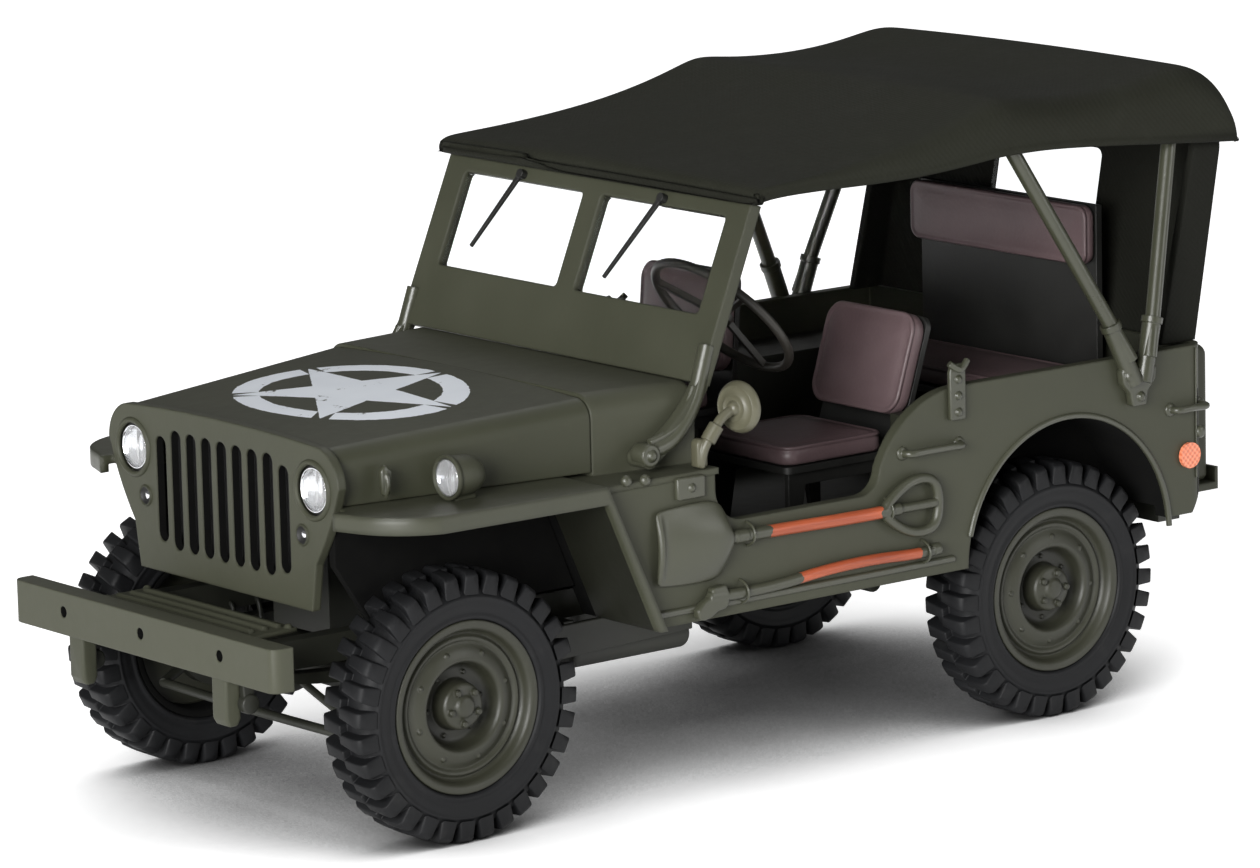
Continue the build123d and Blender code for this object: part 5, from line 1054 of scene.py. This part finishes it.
spring_eye_x = (37.0, 15.7, -11.9, -31.7)
spring_eye_z = 9.3
clip_half_gap = 1.0
steering_parts = [
    bent_tube("tie rod", [(30.3, -10.4, 6.3), (30.3, -3, 6.2), (30.3, 3, 6.2), (30.3, 10.4, 6.3)], 0.30),
    bent_tube("drag link", [(30.1, 9.6, 7.2), (30.6, 6.2, 8.6), (30.9, 3.0, 10.2)], 0.26),
]
for hand in (1, -1):
    steering_parts.append(bent_tube("steering arm", [
        (30.4, hand * 10.2, 6.3), (29.2, hand * 10.9, 6.6), (27.2, hand * 11.2, 7.3), (26.7, hand * 11.15, 7.5)], 0.34))
    for x in spring_eye_x:
        steering_parts += [
            side_plate("spring eye", circle(0.62, (x, spring_eye_z), 16), hand * 7.55, hand * 9.1, 0.1),
            side_plate("shackle", [(x - 0.35, 9.2), (x + 0.35, 9.2), (x + 0.5, 11.4), (x - 0.5, 11.4)],
                       hand * 7.75, hand * 8.9, 0.1),
        ]
    for axle in axle_x.values():
        for x in (axle - clip_half_gap, axle + clip_half_gap):
            steering_parts.append(bent_tube("U-bolt", [
                (x, hand * 7.35, 6.9), (x, hand * 7.3, 10.9), (x, hand * 8.25, 11.5), (x, hand * 9.2, 10.9),
                (x, hand * 9.15, 6.9)], 0.17))
fixed(joined("steering_rods_and_spring_eyes", steering_parts, gear_plastic), "chassis")

side_rail = [
    side_plate("side rail", [(5.5, 9.5), (17.6, 9.1), (17.9, 11.3), (5.5, 11.4)], 11.75, 12.1, 0.1),
    side_plate("rail bracket", oblong(8.0, 9.0, 9.6, 11.5), 9.4, 12.0, 0.1),
    side_plate("rail bracket", oblong(14.8, 15.6, 9.4, 11.5), 9.4, 12.0, 0.1),
]
fixed(joined("side_rails", side_rail, gear_plastic, both_hands=True), "chassis")

hanger = side_plate("hanger", [
    (37.35, 11.3), (37.35, 8.4), (37.6, 7.95), (38.2, 7.95), (38.45, 8.4), (38.45, 11.3)], 7.0, 8.5, 0.14)
fixed(joined("front_spring_hangers", [hanger], body_paint, both_hands=True), "olive_body")


# ---------------------------------------------------------------------------------------------
# Gravel plate. A ribbed olive plate that closes the gap between bumper and grille, over the two
# frame horns, with one bolt at each corner.

round_head = mesh_piece("round head pattern", turned([
    (0, 0.24), (0.14, 0.22), (0.25, 0.14), (0.30, 0.0), (0.30, -0.05), (0, -0.05)], 12), body_paint)
round_head.data.transform(Matrix.Rotation(pi / 2, 4, "X"))

row_tree, add, source, result = node_tree("row of heads", (
    ("Part", "NodeSocketObject"), ("Count", "NodeSocketInt"),
    ("Start", "NodeSocketVector"), ("Step", "NodeSocketVector"),
    ("Turn", "NodeSocketVector"), ("Size", "NodeSocketFloat"), ("Finish", "NodeSocketMaterial")))
row_points = add("GeometryNodeMeshLine", Count=source.outputs["Count"], Start_Location=source.outputs["Start"],
                 Offset=source.outputs["Step"])
row_part = add("GeometryNodeObjectInfo", Object=source.outputs["Part"])
row_turn = add("FunctionNodeEulerToRotation", Euler=source.outputs["Turn"])
row_heads = add("GeometryNodeInstanceOnPoints", Points=row_points.outputs[0], Instance=row_part.outputs["Geometry"],
                Rotation=row_turn.outputs[0], Scale=source.outputs["Size"])
realised_and_joined(row_tree, add, source, result, row_heads)

head_turn = {"left": (-pi / 2, 0, 0), "up": (0, 0, 0)}


def studded(piece, rows):
    """Adds rows of round olive heads: (way they face, count, start, step, size), in mm."""
    for way, count, start, step, size in rows:
        with_tree(piece, row_tree, Part=round_head, Count=count, Start=Vector(start) * MM,
                  Step=Vector(step) * MM, Turn=head_turn[way], Size=size, Finish=body_paint)
    return piece


plate_rear, plate_front = 32.7, 36.9
plate_half_width = 8.0
rib_half_length = 7.2
bolt_y = 7.6
gravel_parts = [side_plate("plate", [
    (plate_rear, 12.9), (plate_front, 12.8), (plate_front, 13.1), (plate_rear, 13.2)],
    -plate_half_width, plate_half_width, 0.08)]
for rib_x in (33.5, 34.5, 35.5, 36.4):
    gravel_parts.append(bent_tube("rib", [
        (rib_x, -rib_half_length, 13.2), (rib_x, 0, 13.26), (rib_x, rib_half_length, 13.2)], 0.20))
gravel_plate = studded(joined("gravel_plate", gravel_parts, body_paint), (
    ("up", 2, (33.1, -bolt_y, 13.2), (0, 2 * bolt_y, 0), 0.9),
    ("up", 2, (36.5, -bolt_y, 13.1), (0, 2 * bolt_y, 0), 0.9)))
fixed(gravel_plate, "olive_body")


# ---------------------------------------------------------------------------------------------
# Bow sockets and strap rests. On each side a bracket bolted to the tub holds two tube sockets for
# the top's bows; ahead of it a riveted strap rest with a wing nut stands on the tub's edge.

def straight(start, end):
    """Start, middle and end of a straight tube."""
    return [start, tuple(0.5 * (a + b) for a, b in zip(start, end)), end]


tub_side = 17.04
bracket_x = -27.3
bow_foot_y, bow_foot_z, bow_top_y = 17.75, 23.1, 14.5
socket_rise = 2.5
collar_share = 0.1
bow_feet = (
    # foot x, top x, top height
    (-26.5, -17.6, 39.8),
    (-28.1, -33.5, 40.3),
)
bracket = side_plate("bracket", [
    (bracket_x + 1.5, 22.5), (bracket_x + 1.35, 21.5), (bracket_x + 0.75, 20.9), (bracket_x + 0.6, 20.0),
    (bracket_x - 0.6, 20.0), (bracket_x - 0.75, 20.9), (bracket_x - 1.4, 21.6), (bracket_x - 1.5, 22.5)],
    tub_side, bow_foot_y, 0.16)
bow_parts = [studded(bracket, (("left", 2, (bracket_x + 0.95, bow_foot_y, 22.05), (-1.0, 0, -1.45), 1.15),))]
for foot_x, top_x, top_z in bow_feet:
    per_rise = socket_rise / (top_z - bow_foot_z)
    low = (bracket_x + (foot_x - bracket_x) * 0.45, 17.58, 21.5)
    high = (foot_x + (top_x - foot_x) * per_rise, bow_foot_y + (bow_top_y - bow_foot_y) * per_rise - 0.04,
            bow_foot_z + socket_rise)
    collar = tuple(h + (l - h) * collar_share for l, h in zip(low, high))
    bow_parts += [
        bent_tube("socket", straight(low, high), 0.63, order=2),
        bent_tube("collar", straight(high, collar), 0.72, order=2),
    ]

rest_x = -12.1
strap_rest = side_plate("strap rest", [
    (rest_x - 0.62, 21.1), (rest_x + 0.62, 21.1), (rest_x + 0.66, 24.2), (rest_x + 0.45, 24.7),
    (rest_x - 0.45, 24.7), (rest_x - 0.66, 24.2)], tub_side, 17.4, 0.1)
bow_parts += [
    studded(strap_rest, (("left", 3, (rest_x, 17.4, 21.6), (0, 0, 1.05), 0.95),)),
    bent_tube("wing nut", [(rest_x - 0.75, 17.4, 24.85), (rest_x - 0.2, 17.6, 24.35), (rest_x + 0.2, 17.6, 24.35),
                           (rest_x + 0.75, 17.4, 24.8)], 0.22),
]
fixed(joined("bow_sockets_and_strap_rests", bow_parts, trim_paint, both_hands=True), "olive_body", "bow_brackets")


# ---------------------------------------------------------------------------------------------
# Windshield arms. A curved steel tube at each side runs from the frame's lower corner forward to
# its pivot on the cowl, with a thinner web tube along it and a pivot bolt.

pivot_x, pivot_z = 11.45, 21.85
pivot = side_plate("pivot", circle(0.72, (pivot_x, pivot_z), 18), 14.6, 15.95, 0.14)
arms = [
    bent_tube("arm", [(6.35, 15.15, 28.0), (6.9, 15.2, 26.4), (7.5, 15.25, 24.6), (8.7, 15.3, 23.0), (10.0, 15.3, 22.1),
                      (11.7, 15.3, 21.9)], 0.52),
    bent_tube("web", [(7.6, 15.3, 25.6), (8.4, 15.35, 23.9), (9.6, 15.4, 22.9), (11.2, 15.4, 22.6)], 0.24),
    studded(pivot, (("left", 1, (pivot_x, 15.9, pivot_z), (0, 0, 0), 1.3),)),
]
fixed(joined("windshield_arms", arms, trim_paint, both_hands=True), "olive_body")


# ---------------------------------------------------------------------------------------------
# Tools. A shovel and an axe, each moulded in one piece, stand just off the left side in two small
# clips each; the middle of each handle is brushed with orange wood colour, the rest is body olive.

def tool_paint(name, orange_from, orange_to, low, high):
    """Olive with a hand-brushed orange stretch between two places along x, on the side that shows."""
    shade, look = olive_paint(name, gloss=0.32)
    along_x, along_y, along_z = shade.axes()
    brush = (shade.noise(1100.0, 3.0, 0.6) - 0.5) * 0.0011
    streak = shade.noise(900.0, 3.0, 0.6, where=shade.node(
        "ShaderNodeMapping", out="Vector", Vector=shade.place, Scale=(0.12, 1.0, 1.6)))
    edge = along_z + brush * 0.35
    mask = (along_x + brush < orange_from * MM) * (along_x + brush > orange_to * MM)
    mask = mask * (edge > low * MM) * (edge < high * MM) * (along_y > 17.2 * MM)
    orange = shade.mix(shade.spread(streak, 0.3, 0.75), (0.27, 0.048, 0.016), (0.56, 0.122, 0.046))
    look["Base_Color"] = shade.mix(mask, look["Base_Color"], orange)
    return shade.finish(**look, Specular_IOR_Level=0.55)


def off_side(y, *points):
    """Points (x, z) in mm that all stand off the car's side at the same y."""
    return [(x, y, z) for x, z in points]


blade_middle = 16.3
blade_steps = 8
blade_rows = (
    # x, half width, how far its middle stands out
    (12.30, 2.10, 0.30), (12.22, 2.30, 0.62), (12.02, 2.36, 0.66), (11.86, 2.38, 0.40), (11.5, 2.42, 0.42),
    (10.6, 2.50, 0.62), (9.6, 2.55, 0.80), (8.6, 2.55, 0.92), (7.8, 2.50, 0.98), (7.2, 2.15, 0.95),
    (6.85, 1.35, 0.85), (6.65, 0.55, 0.75),
)
blade_shape = bmesh.new()
rows = []
for x, half, out in blade_rows:
    row = []
    for t in [k / blade_steps for k in range(-blade_steps, blade_steps + 1)]:
        y = 17.1 + out * (1 - abs(t) ** 2.2) + 0.16 * abs(t) ** 6
        row.append(blade_shape.verts.new((x * MM, y * MM, (blade_middle + t * half) * MM)))
    rows.append(row)
skin(blade_shape, rows, closed=False)
blade = mesh_piece("blade", blade_shape)
blade_wall = blade.modifiers.new("sheet", "SOLIDIFY")
blade_wall.thickness = 0.14 * MM
blade_wall.offset = 0.0
blade_soft = blade.modifiers.new("soft", "SUBSURF")
blade_soft.levels = blade_soft.render_levels = 1
settle(blade)

shovel_y = 17.46
shovel_parts = [
    blade,
    bent_tube("socket", [(9.4, 17.42, 16.3), (7.8, shovel_y, 16.3), (6.2, shovel_y, 16.28)], 0.40),
    bent_tube("ferrule", off_side(shovel_y, (6.4, 16.28), (5.8, 16.27), (5.4, 16.26)), 0.43, order=2),
    bent_tube("handle", off_side(
        shovel_y, (6.0, 16.27), (2.0, 16.22), (-2.0, 16.12), (-5.4, 16.10), (-7.0, 16.12)), 0.40),
    bent_tube("grip", off_side(
        shovel_y, (-5.5, 16.1), (-6.9, 17.25), (-8.3, 17.85), (-9.7, 17.75), (-10.25, 16.9), (-10.25, 15.3),
        (-9.7, 14.45), (-8.3, 14.35), (-6.9, 14.95)), 0.33, closed=True),
    bent_tube("grip bar", off_side(shovel_y, (-6.6, 16.1), (-8.4, 16.1), (-10.0, 16.1)), 0.30),
]
shovel_paint = tool_paint("shovel paint", 3.6, -5.4, 15.4, 17.0)
fixed(joined("shovel_with_grip", shovel_parts, shovel_paint), "olive_body", "shovel")

axe_y = 17.42
axe_parts = [
    side_plate("head", [
        (9.35, 11.5), (9.5, 12.1), (9.0, 12.55), (8.4, 12.85), (8.25, 13.35), (7.2, 13.45), (6.95, 12.9), (7.0, 12.2),
        (7.25, 11.95), (7.9, 11.85), (8.4, 11.55), (8.9, 11.42)], 17.08, 17.72, 0.14),
    bent_tube("handle", off_side(
        axe_y, (8.4, 12.75), (6.0, 12.66), (2.5, 12.75), (-1.0, 13.12), (-5.0, 13.2), (-8.6, 12.98),
        (-10.2, 13.05)), 0.35),
    bent_tube("knob", off_side(axe_y, (-9.7, 13.05), (-10.0, 13.1), (-10.25, 13.1)), 0.40, order=2),
]
axe_paint = tool_paint("axe paint", 1.2, -8.6, 12.2, 13.9)
fixed(joined("axe_with_handle", axe_parts, axe_paint), "olive_body", "axe")

clip_places = ((5.0, 16.25), (-6.2, 16.1), (5.6, 12.68), (-9.2, 13.0))
clips = [bent_tube("clip", [
    (x, 17.0, z + 0.75), (x, 17.6, z + 0.62), (x, 17.95, z), (x, 17.6, z - 0.62), (x, 17.0, z - 0.75)], 0.09)
    for x, z in clip_places]
fixed(joined("tool_clips", clips, trim_paint), "olive_body")


# ---------------------------------------------------------------------------------------------
# Side mirror. A spun beige shell with stepped rings and a boss, bright glass behind it, on a bent
# rod clamped to a foot on the cowl's shoulder.

mirror_plastic = moulded("mirror beige", (0.074, 0.071, 0.045), (0.132, 0.127, 0.084), 0.32, edge_mm=0.12)
bowl_shade = Shade("bright plated bowl")
bowl_patch = bowl_shade.noise(420.0, 3.0, 0.6)
bright_plate = bowl_shade.finish(
    Base_Color=bowl_shade.mix(bowl_patch, (0.80, 0.81, 0.83), (0.93, 0.94, 0.95)), Metallic=1.0,
    Roughness=bowl_shade.spread(bowl_patch, 0.3, 0.7, 0.10, 0.24), Normal=bowl_shade.bump(bowl_patch, 0.00002, 0.5))

mirror_middle = (5.15, 16.78, 24.2)
mirror_turn = radians(-78)
mirror_scale = 1.14
glass_behind = 0.10
mirror_stand = at(*mirror_middle) @ Matrix.Rotation(mirror_turn, 4, "Z") @ Matrix.Scale(mirror_scale, 4)
mirror_shell = mesh_piece("mirror shell", turned([
    (0, 0.86), (0.22, 0.84), (0.34, 0.72), (0.42, 0.52), (0.62, 0.50), (0.72, 0.56), (0.82, 0.50), (1.12, 0.40),
    (1.20, 0.44), (1.28, 0.36), (1.40, 0.18), (1.45, 0.02), (1.42, -0.06), (1.34, -0.06), (1.32, 0.0), (0, 0.0)], 48),
    sharp=60)
mirror_shell.data.transform(mirror_stand)
mirror_face = mesh_piece("mirror_face", turned([
    (0, 0.05), (0.6, 0.04), (1.1, 0.02), (1.33, -0.02), (1.33, 0.12), (0, 0.12)], 48), bright_plate, sharp=50)
mirror_face.data.transform(at(-glass_behind, 0, 0) @ mirror_stand)
mirror_parts = [
    mirror_shell,
    bent_tube("rod", [(5.9, 16.9, 24.1), (6.8, 16.95, 23.8), (7.3, 16.9, 23.0), (7.9, 16.75, 22.2), (8.1, 16.6, 21.4),
                      (8.1, 16.5, 20.8)], 0.32),
    side_plate("foot", [(7.7, 20.8), (8.5, 20.8), (8.5, 22.3), (8.3, 22.55), (7.9, 22.55), (7.7, 22.3)],
               16.0, 16.75, 0.12),
    bent_tube("clamp", [(7.1, 16.9, 23.3), (7.4, 16.85, 22.9), (7.75, 16.8, 22.4)], 0.50, order=2),
]
fixed(joined("mirror_with_rod", mirror_parts, mirror_plastic), "mirror_back", "side_mirror")
fixed(mirror_face, "chrome_lamp")


# ---------------------------------------------------------------------------------------------
# Head, marker and fender lamps. Sunk plated bowls behind clear domed lenses with a faint moulded
# pattern, in a groove painted black as shade and an olive rim; the fender lamp has a shell and a foot of its own.

lens_shade = Shade("fluted clear lens")
lens_across, lens_up = lens_shade.axes()[1:]
lens_flute = lens_shade.math("SINE", lens_across * 9500.0) + 0.4 * lens_shade.math("SINE", lens_up * 5000.0)
lens_cloud = lens_shade.noise(500.0, 2.0, 0.5)
lens_clear = lens_shade.finish(
    Base_Color=lens_shade.mix(lens_cloud, (0.93, 0.94, 0.95), (0.99, 0.99, 1.0)), Transmission_Weight=0.85, IOR=1.40,
    Roughness=lens_shade.spread(lens_cloud, 0.3, 0.7, 0.03, 0.10), Normal=lens_shade.bump(lens_flute, 0.000018, 0.45))
# near black for the groove round each lens, painted as shade, and for the dashboard's dials
groove_shade_and_dial_black = moulded("dark groove", (0.006, 0.006, 0.006), (0.012, 0.012, 0.011), 0.5)


def facing_front(x, y, z):
    """Stands a turned shape, which looks along y, at a place with its face to the front."""
    return at(x, y, z) @ Matrix.Rotation(-pi / 2, 4, "Z")


def turned_piece(name, profile, place, steps=40):
    piece = mesh_piece(name, turned(profile, steps), sharp=50)
    piece.data.transform(place)
    return piece


grille_face = 32.3
headlamp_y, headlamp_z = 9.6, 21.8
marker_y, marker_z = 8.4, 18.9
fender_lamp_place = facing_front(25.75, 14.3, 22.32)
lamp_kinds = (
    # places, steps round, and each part's outline as (radius, along the lamp's axis)
    ([facing_front(grille_face, hand * headlamp_y, headlamp_z) for hand in (1, -1)], 40, {
        "bowl": [
            (0, -0.55), (0.5, -0.50), (0.9, -0.36), (1.2, -0.14), (1.32, 0.02), (1.36, 0.02), (1.36, -0.6), (0, -0.6)],
        "lens": [(0, 0.22), (0.5, 0.20), (0.9, 0.13), (1.18, 0.03), (1.30, -0.08), (1.30, -0.14), (0, -0.10)],
        "groove": [(1.30, -0.16), (1.56, -0.16), (1.56, -0.5), (1.30, -0.5), (1.30, -0.16)],
        "rim": [
            (1.53, 0.08), (1.56, 0.20), (1.66, 0.27), (1.78, 0.26), (1.90, 0.12), (1.90, 0.0), (1.53, 0.0),
            (1.53, 0.08)],
    }),
    ([facing_front(grille_face, hand * marker_y, marker_z) for hand in (1, -1)], 24, {
        "bowl": [(0, 0.06), (0.2, 0.04), (0.34, -0.04), (0.37, -0.16), (0, -0.2)],
        "groove": [(0, -0.1), (0.5, -0.1), (0.56, 0.12), (0.52, 0.15), (0.40, 0.02), (0, 0.0)],
        "rim": [(0.52, 0.10), (0.56, 0.20), (0.64, 0.22), (0.70, 0.12), (0.70, 0.0), (0.52, 0.0), (0.52, 0.10)],
    }),
    ([fender_lamp_place], 40, {
        "bowl": [(0, -0.35), (0.5, -0.30), (0.9, -0.12), (1.1, 0.06), (1.16, 0.06), (1.16, -0.4), (0, -0.4)],
        "lens": [(0, 0.34), (0.4, 0.32), (0.8, 0.22), (1.05, 0.10), (1.12, 0.0), (0, 0.02)],
    }),
)
lamp_parts = {"bowl": [], "lens": [], "groove": [], "rim": []}
for places, steps, outlines in lamp_kinds:
    for place in places:
        for part, outline in outlines.items():
            lamp_parts[part].append(turned_piece(part, outline, place, steps))
fender_shell = [
    turned_piece("shell", [
        (0, -2.45), (0.35, -2.42), (0.75, -2.25), (1.05, -1.9), (1.22, -1.4), (1.27, -0.6), (1.28, -0.2), (1.36, -0.14),
        (1.40, 0.0), (1.38, 0.14), (1.30, 0.18), (1.20, 0.12), (1.17, 0.0), (1.17, -0.3), (0, -0.45)],
        fender_lamp_place),
    side_plate("lamp foot", [(23.9, 20.88), (25.5, 20.88), (25.3, 21.3), (24.9, 21.6), (24.4, 21.6), (24.1, 21.3)],
               13.85, 14.75, 0.1),
]
fixed(joined("plated_lamp_bowls", lamp_parts["bowl"], bright_plate), "chrome_lamp", "lamp_bowls")
fixed(joined("clear_lamp_lenses", lamp_parts["lens"], lens_clear), "clear", "lamp_lenses")
fixed(joined("lamp_grooves", lamp_parts["groove"], groove_shade_and_dial_black), "chassis")
fixed(joined("headlamp_and_marker_rims", lamp_parts["rim"], body_paint), "olive_body")
fixed(joined("fender_lamp_shell", fender_shell, body_paint), "olive_body", "fender_lamp")


# ---------------------------------------------------------------------------------------------
# Grab handles. Two bent loops on each side of the tub, each with a flat round foot at both ends,
# and a latch knob below the rear one.

loop_bend = 0.45
loop_out = 17.7
tail_knob = (-33.3, 16.68, 17.4)
handle_parts = []
for rear_x, front_x, z in ((-12.4, -7.7, 19.5), (-33.5, -30.6, 19.2)):
    handle_parts.append(bent_tube("loop", [
        (rear_x, 16.4, z), (rear_x + 0.05, 17.5, z), (rear_x + loop_bend, 17.68, z), (rear_x + 1.2, loop_out, z + 0.04),
        (front_x - 1.2, loop_out, z + 0.04), (front_x - loop_bend, 17.68, z), (front_x - 0.05, 17.5, z),
        (front_x, 16.95, z)], 0.24))
    for x in (rear_x, front_x):
        foot_y = 17.0 if x > -33 else 16.6
        handle_parts.append(turned_piece("foot", [(0, 0.16), (0.3, 0.15), (0.42, 0.08), (0.46, 0.0), (0, 0.0)],
                                         at(x, foot_y, z), steps=20))
handle_parts.append(turned_piece("latch knob", [
    (0, 0.5), (0.3, 0.48), (0.42, 0.34), (0.40, 0.2), (0.24, 0.1), (0.24, 0.0), (0, 0)],
    at(*tail_knob), steps=20))
fixed(joined("grab_handle_loops", handle_parts, trim_paint, both_hands=True), "olive_body", "grab_handles")


# ---------------------------------------------------------------------------------------------
# Small body fittings. A rolled lip round each rear arch, a bead along the sill, a bolted block on
# the cowl's side, a latch with its hook on the hood's side and a seam at the tub's rear corner.

lip_radius = arch_radius + 0.12
arch_lip = [(arch_x + lip_radius * cos(radians(turn)), 17.02, arch_z + lip_radius * sin(radians(turn)))
            for turn in range(14, 181, 4)]
seam_x = -32.9
cowl_block = side_plate("cowl block", oblong(8.4, 10.6, 19.1, 20.5), 16.9, 17.35, 0.14)
fittings = [
    bent_tube("arch lip", arch_lip, 0.20),
    bent_tube("sill bead", [
        (12.6, 17.0, 12.15), (8.0, 17.03, 12.15), (-6.0, 17.03, 12.15), (-11.8, 17.0, 12.15)], 0.25),
    studded(cowl_block, (
        ("left", 2, (14.3, 16.98, 20.85), (-1.45, 0, -0.15), 1.3), ("left", 1, (9.5, 17.3, 19.8), (0, 0, 0), 1.0))),
    side_plate("hood latch", [
        (28.9, 21.5), (29.5, 21.5), (29.6, 23.0), (29.3, 23.4), (28.8, 23.0)], 12.45, 12.85, 0.12),
    bent_tube("latch hook", [(29.2, 12.7, 22.9), (29.2, 12.95, 22.5), (29.2, 12.95, 21.9), (29.25, 12.7, 21.4)], 0.15),
    bent_tube("corner seam", [(seam_x, 17.0, 14.4), (seam_x, 17.0, 18.5), (seam_x, 17.0, 23.0)], 0.07),
]
fixed(joined("small_body_fittings", fittings, trim_paint, both_hands=True), "olive_body")


# ---------------------------------------------------------------------------------------------
# Front fenders. Castings with a flat top, a rolled lip that runs round a full quarter circle at the
# front, and a foot sloping to the sill; softened from the plain solids.

corner_radius, old_corner_radius = 5.55, 4.0
lip_low, lip_high, lip_lift = 19.3, 19.5, 0.40


def rounder_corner(place):
    """Draws the fender's front corner in to an arc as wide as the fender, and raises the lip's lower edge."""
    if lip_low * MM < place.z < lip_high * MM:
        place = Vector((place.x, place.y, place.z + lip_lift * MM))
    out_x, out_y = place.x - corner_x * MM, abs(place.y) - corner_y * MM
    if out_x <= 0 or out_y <= 0:
        return place
    way = Vector((out_x, out_y)).normalized()
    reach, old_radius = corner_radius * MM, old_corner_radius * MM
    inset = reach - old_radius
    along = inset * (way.x + way.y)
    edge = along + (along * along - 2 * inset * inset + old_radius * old_radius) ** 0.5
    scale = reach / min(edge, reach / max(way.x, way.y))
    hand = 1 if place.y > 0 else -1
    return Vector((corner_x * MM + out_x * scale, (corner_y * MM + out_y * scale) * hand, place.z))


for hand in ("left", "right"):
    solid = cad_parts[f"front_fender_{hand}"]
    fender_shape = bmesh.new()
    fender_shape.from_mesh(solid.data)
    fender_shape.transform(solid.matrix_world)
    bmesh.ops.remove_doubles(fender_shape, verts=fender_shape.verts, dist=0.004 * MM)
    bmesh.ops.dissolve_limit(fender_shape, angle_limit=radians(2), verts=fender_shape.verts, edges=fender_shape.edges)
    for point in fender_shape.verts:
        point.co = rounder_corner(point.co)
    fender = eased(mesh_piece(f"fender_{hand}", fender_shape, fender_paint), 0.36, 4, angle=40)
    fixed(fender, "olive_body", f"front_fender_{hand}")


# ---------------------------------------------------------------------------------------------
# Dashboard dials. Five plain dark dials with raised rims, one large and four small, pressed into
# the dashboard.

dash_face = 7.42
dials = [turned_piece(
    "dial", [(0, 0.08), (size * 0.8, 0.08), (size * 0.84, 0.2), (size, 0.2), (size * 1.04, 0.0), (0, -0.05)],
    at(dash_face, y, z) @ Matrix.Rotation(pi / 2, 4, "Z"), steps=28)
    for y, z, size in ((5.2, 23.3, 0.85), (2.6, 23.5, 0.55), (2.6, 22.4, 0.5), (7.6, 23.5, 0.55), (7.6, 22.4, 0.5))]
fixed(joined("dashboard_dials", dials, groove_shade_and_dial_black), "chassis")


# ---------------------------------------------------------------------------------------------
# Fuel can. A drawn steel can with a pressed cross and frame on its two broad faces, three carrying
# bars and a capped spout, standing in the rack at the tail.

can_low, can_high = 12.85, 22.2
can_near, can_far = -34.5, -38.3
can_left, can_right = 12.55, 4.65
can_inset, can_shoulder = 0.12, 0.9
cross_margin, frame_margin = 1.3, 0.9
can_shape = slab([
    (can_near - can_inset, can_low), (can_far + can_inset, can_low), (can_far + can_inset, can_high - 0.5),
    (can_far + can_shoulder, can_high), (can_near - can_shoulder, can_high), (can_near - can_inset, can_high - 0.5)],
    can_right, can_left, from_side)
can_parts = [eased(mesh_piece("can", can_shape), 0.55, 4)]
cross_right, cross_left = can_right + cross_margin, can_left - cross_margin
frame_right, frame_left = can_right + frame_margin, can_left - frame_margin
frame_corners = [(frame_right, 13.7), (frame_left, 13.7), (frame_left, 21.1), (frame_right, 21.1)]
for face_x in (can_near - 0.16, can_far + 0.16):
    for start_y, end_y in ((cross_right, cross_left), (cross_left, cross_right)):
        can_parts.append(bent_tube("pressed rib", straight((face_x, start_y, 14.2), (face_x, end_y, 20.6)), 0.22))
    frame_line = []
    for (y, z), (next_y, next_z) in zip(frame_corners, frame_corners[1:] + frame_corners[:1]):
        frame_line += straight((face_x + 0.02, y, z), (face_x + 0.02, next_y, next_z))[:2]
    can_parts.append(bent_tube("pressed frame", frame_line, 0.15, closed=True))
can_middle_x = 0.5 * (can_near + can_far)
for bar_x in (can_middle_x - 0.85, can_middle_x, can_middle_x + 0.85):
    can_parts.append(bent_tube("carrying bar", [
        (bar_x, 6.3, 22.1), (bar_x, 6.3, 23.0), (bar_x, 7.2, 23.12), (bar_x, 9.4, 23.12), (bar_x, 10.2, 23.0),
        (bar_x, 10.2, 22.1)], 0.17))
can_parts.append(turned_piece("spout cap", [
    (0, 0.95), (0.55, 0.93), (0.72, 0.80), (0.74, 0.30), (0.60, 0.2), (0.60, -0.1), (0, -0.1)],
    at(can_middle_x, 11.5, 22.25) @ Matrix.Rotation(pi / 2, 4, "X"), steps=24))
fixed(joined("ribbed_fuel_can", can_parts, body_paint), "olive_body", "fuel_can")

bpy.data.objects.remove(round_head)
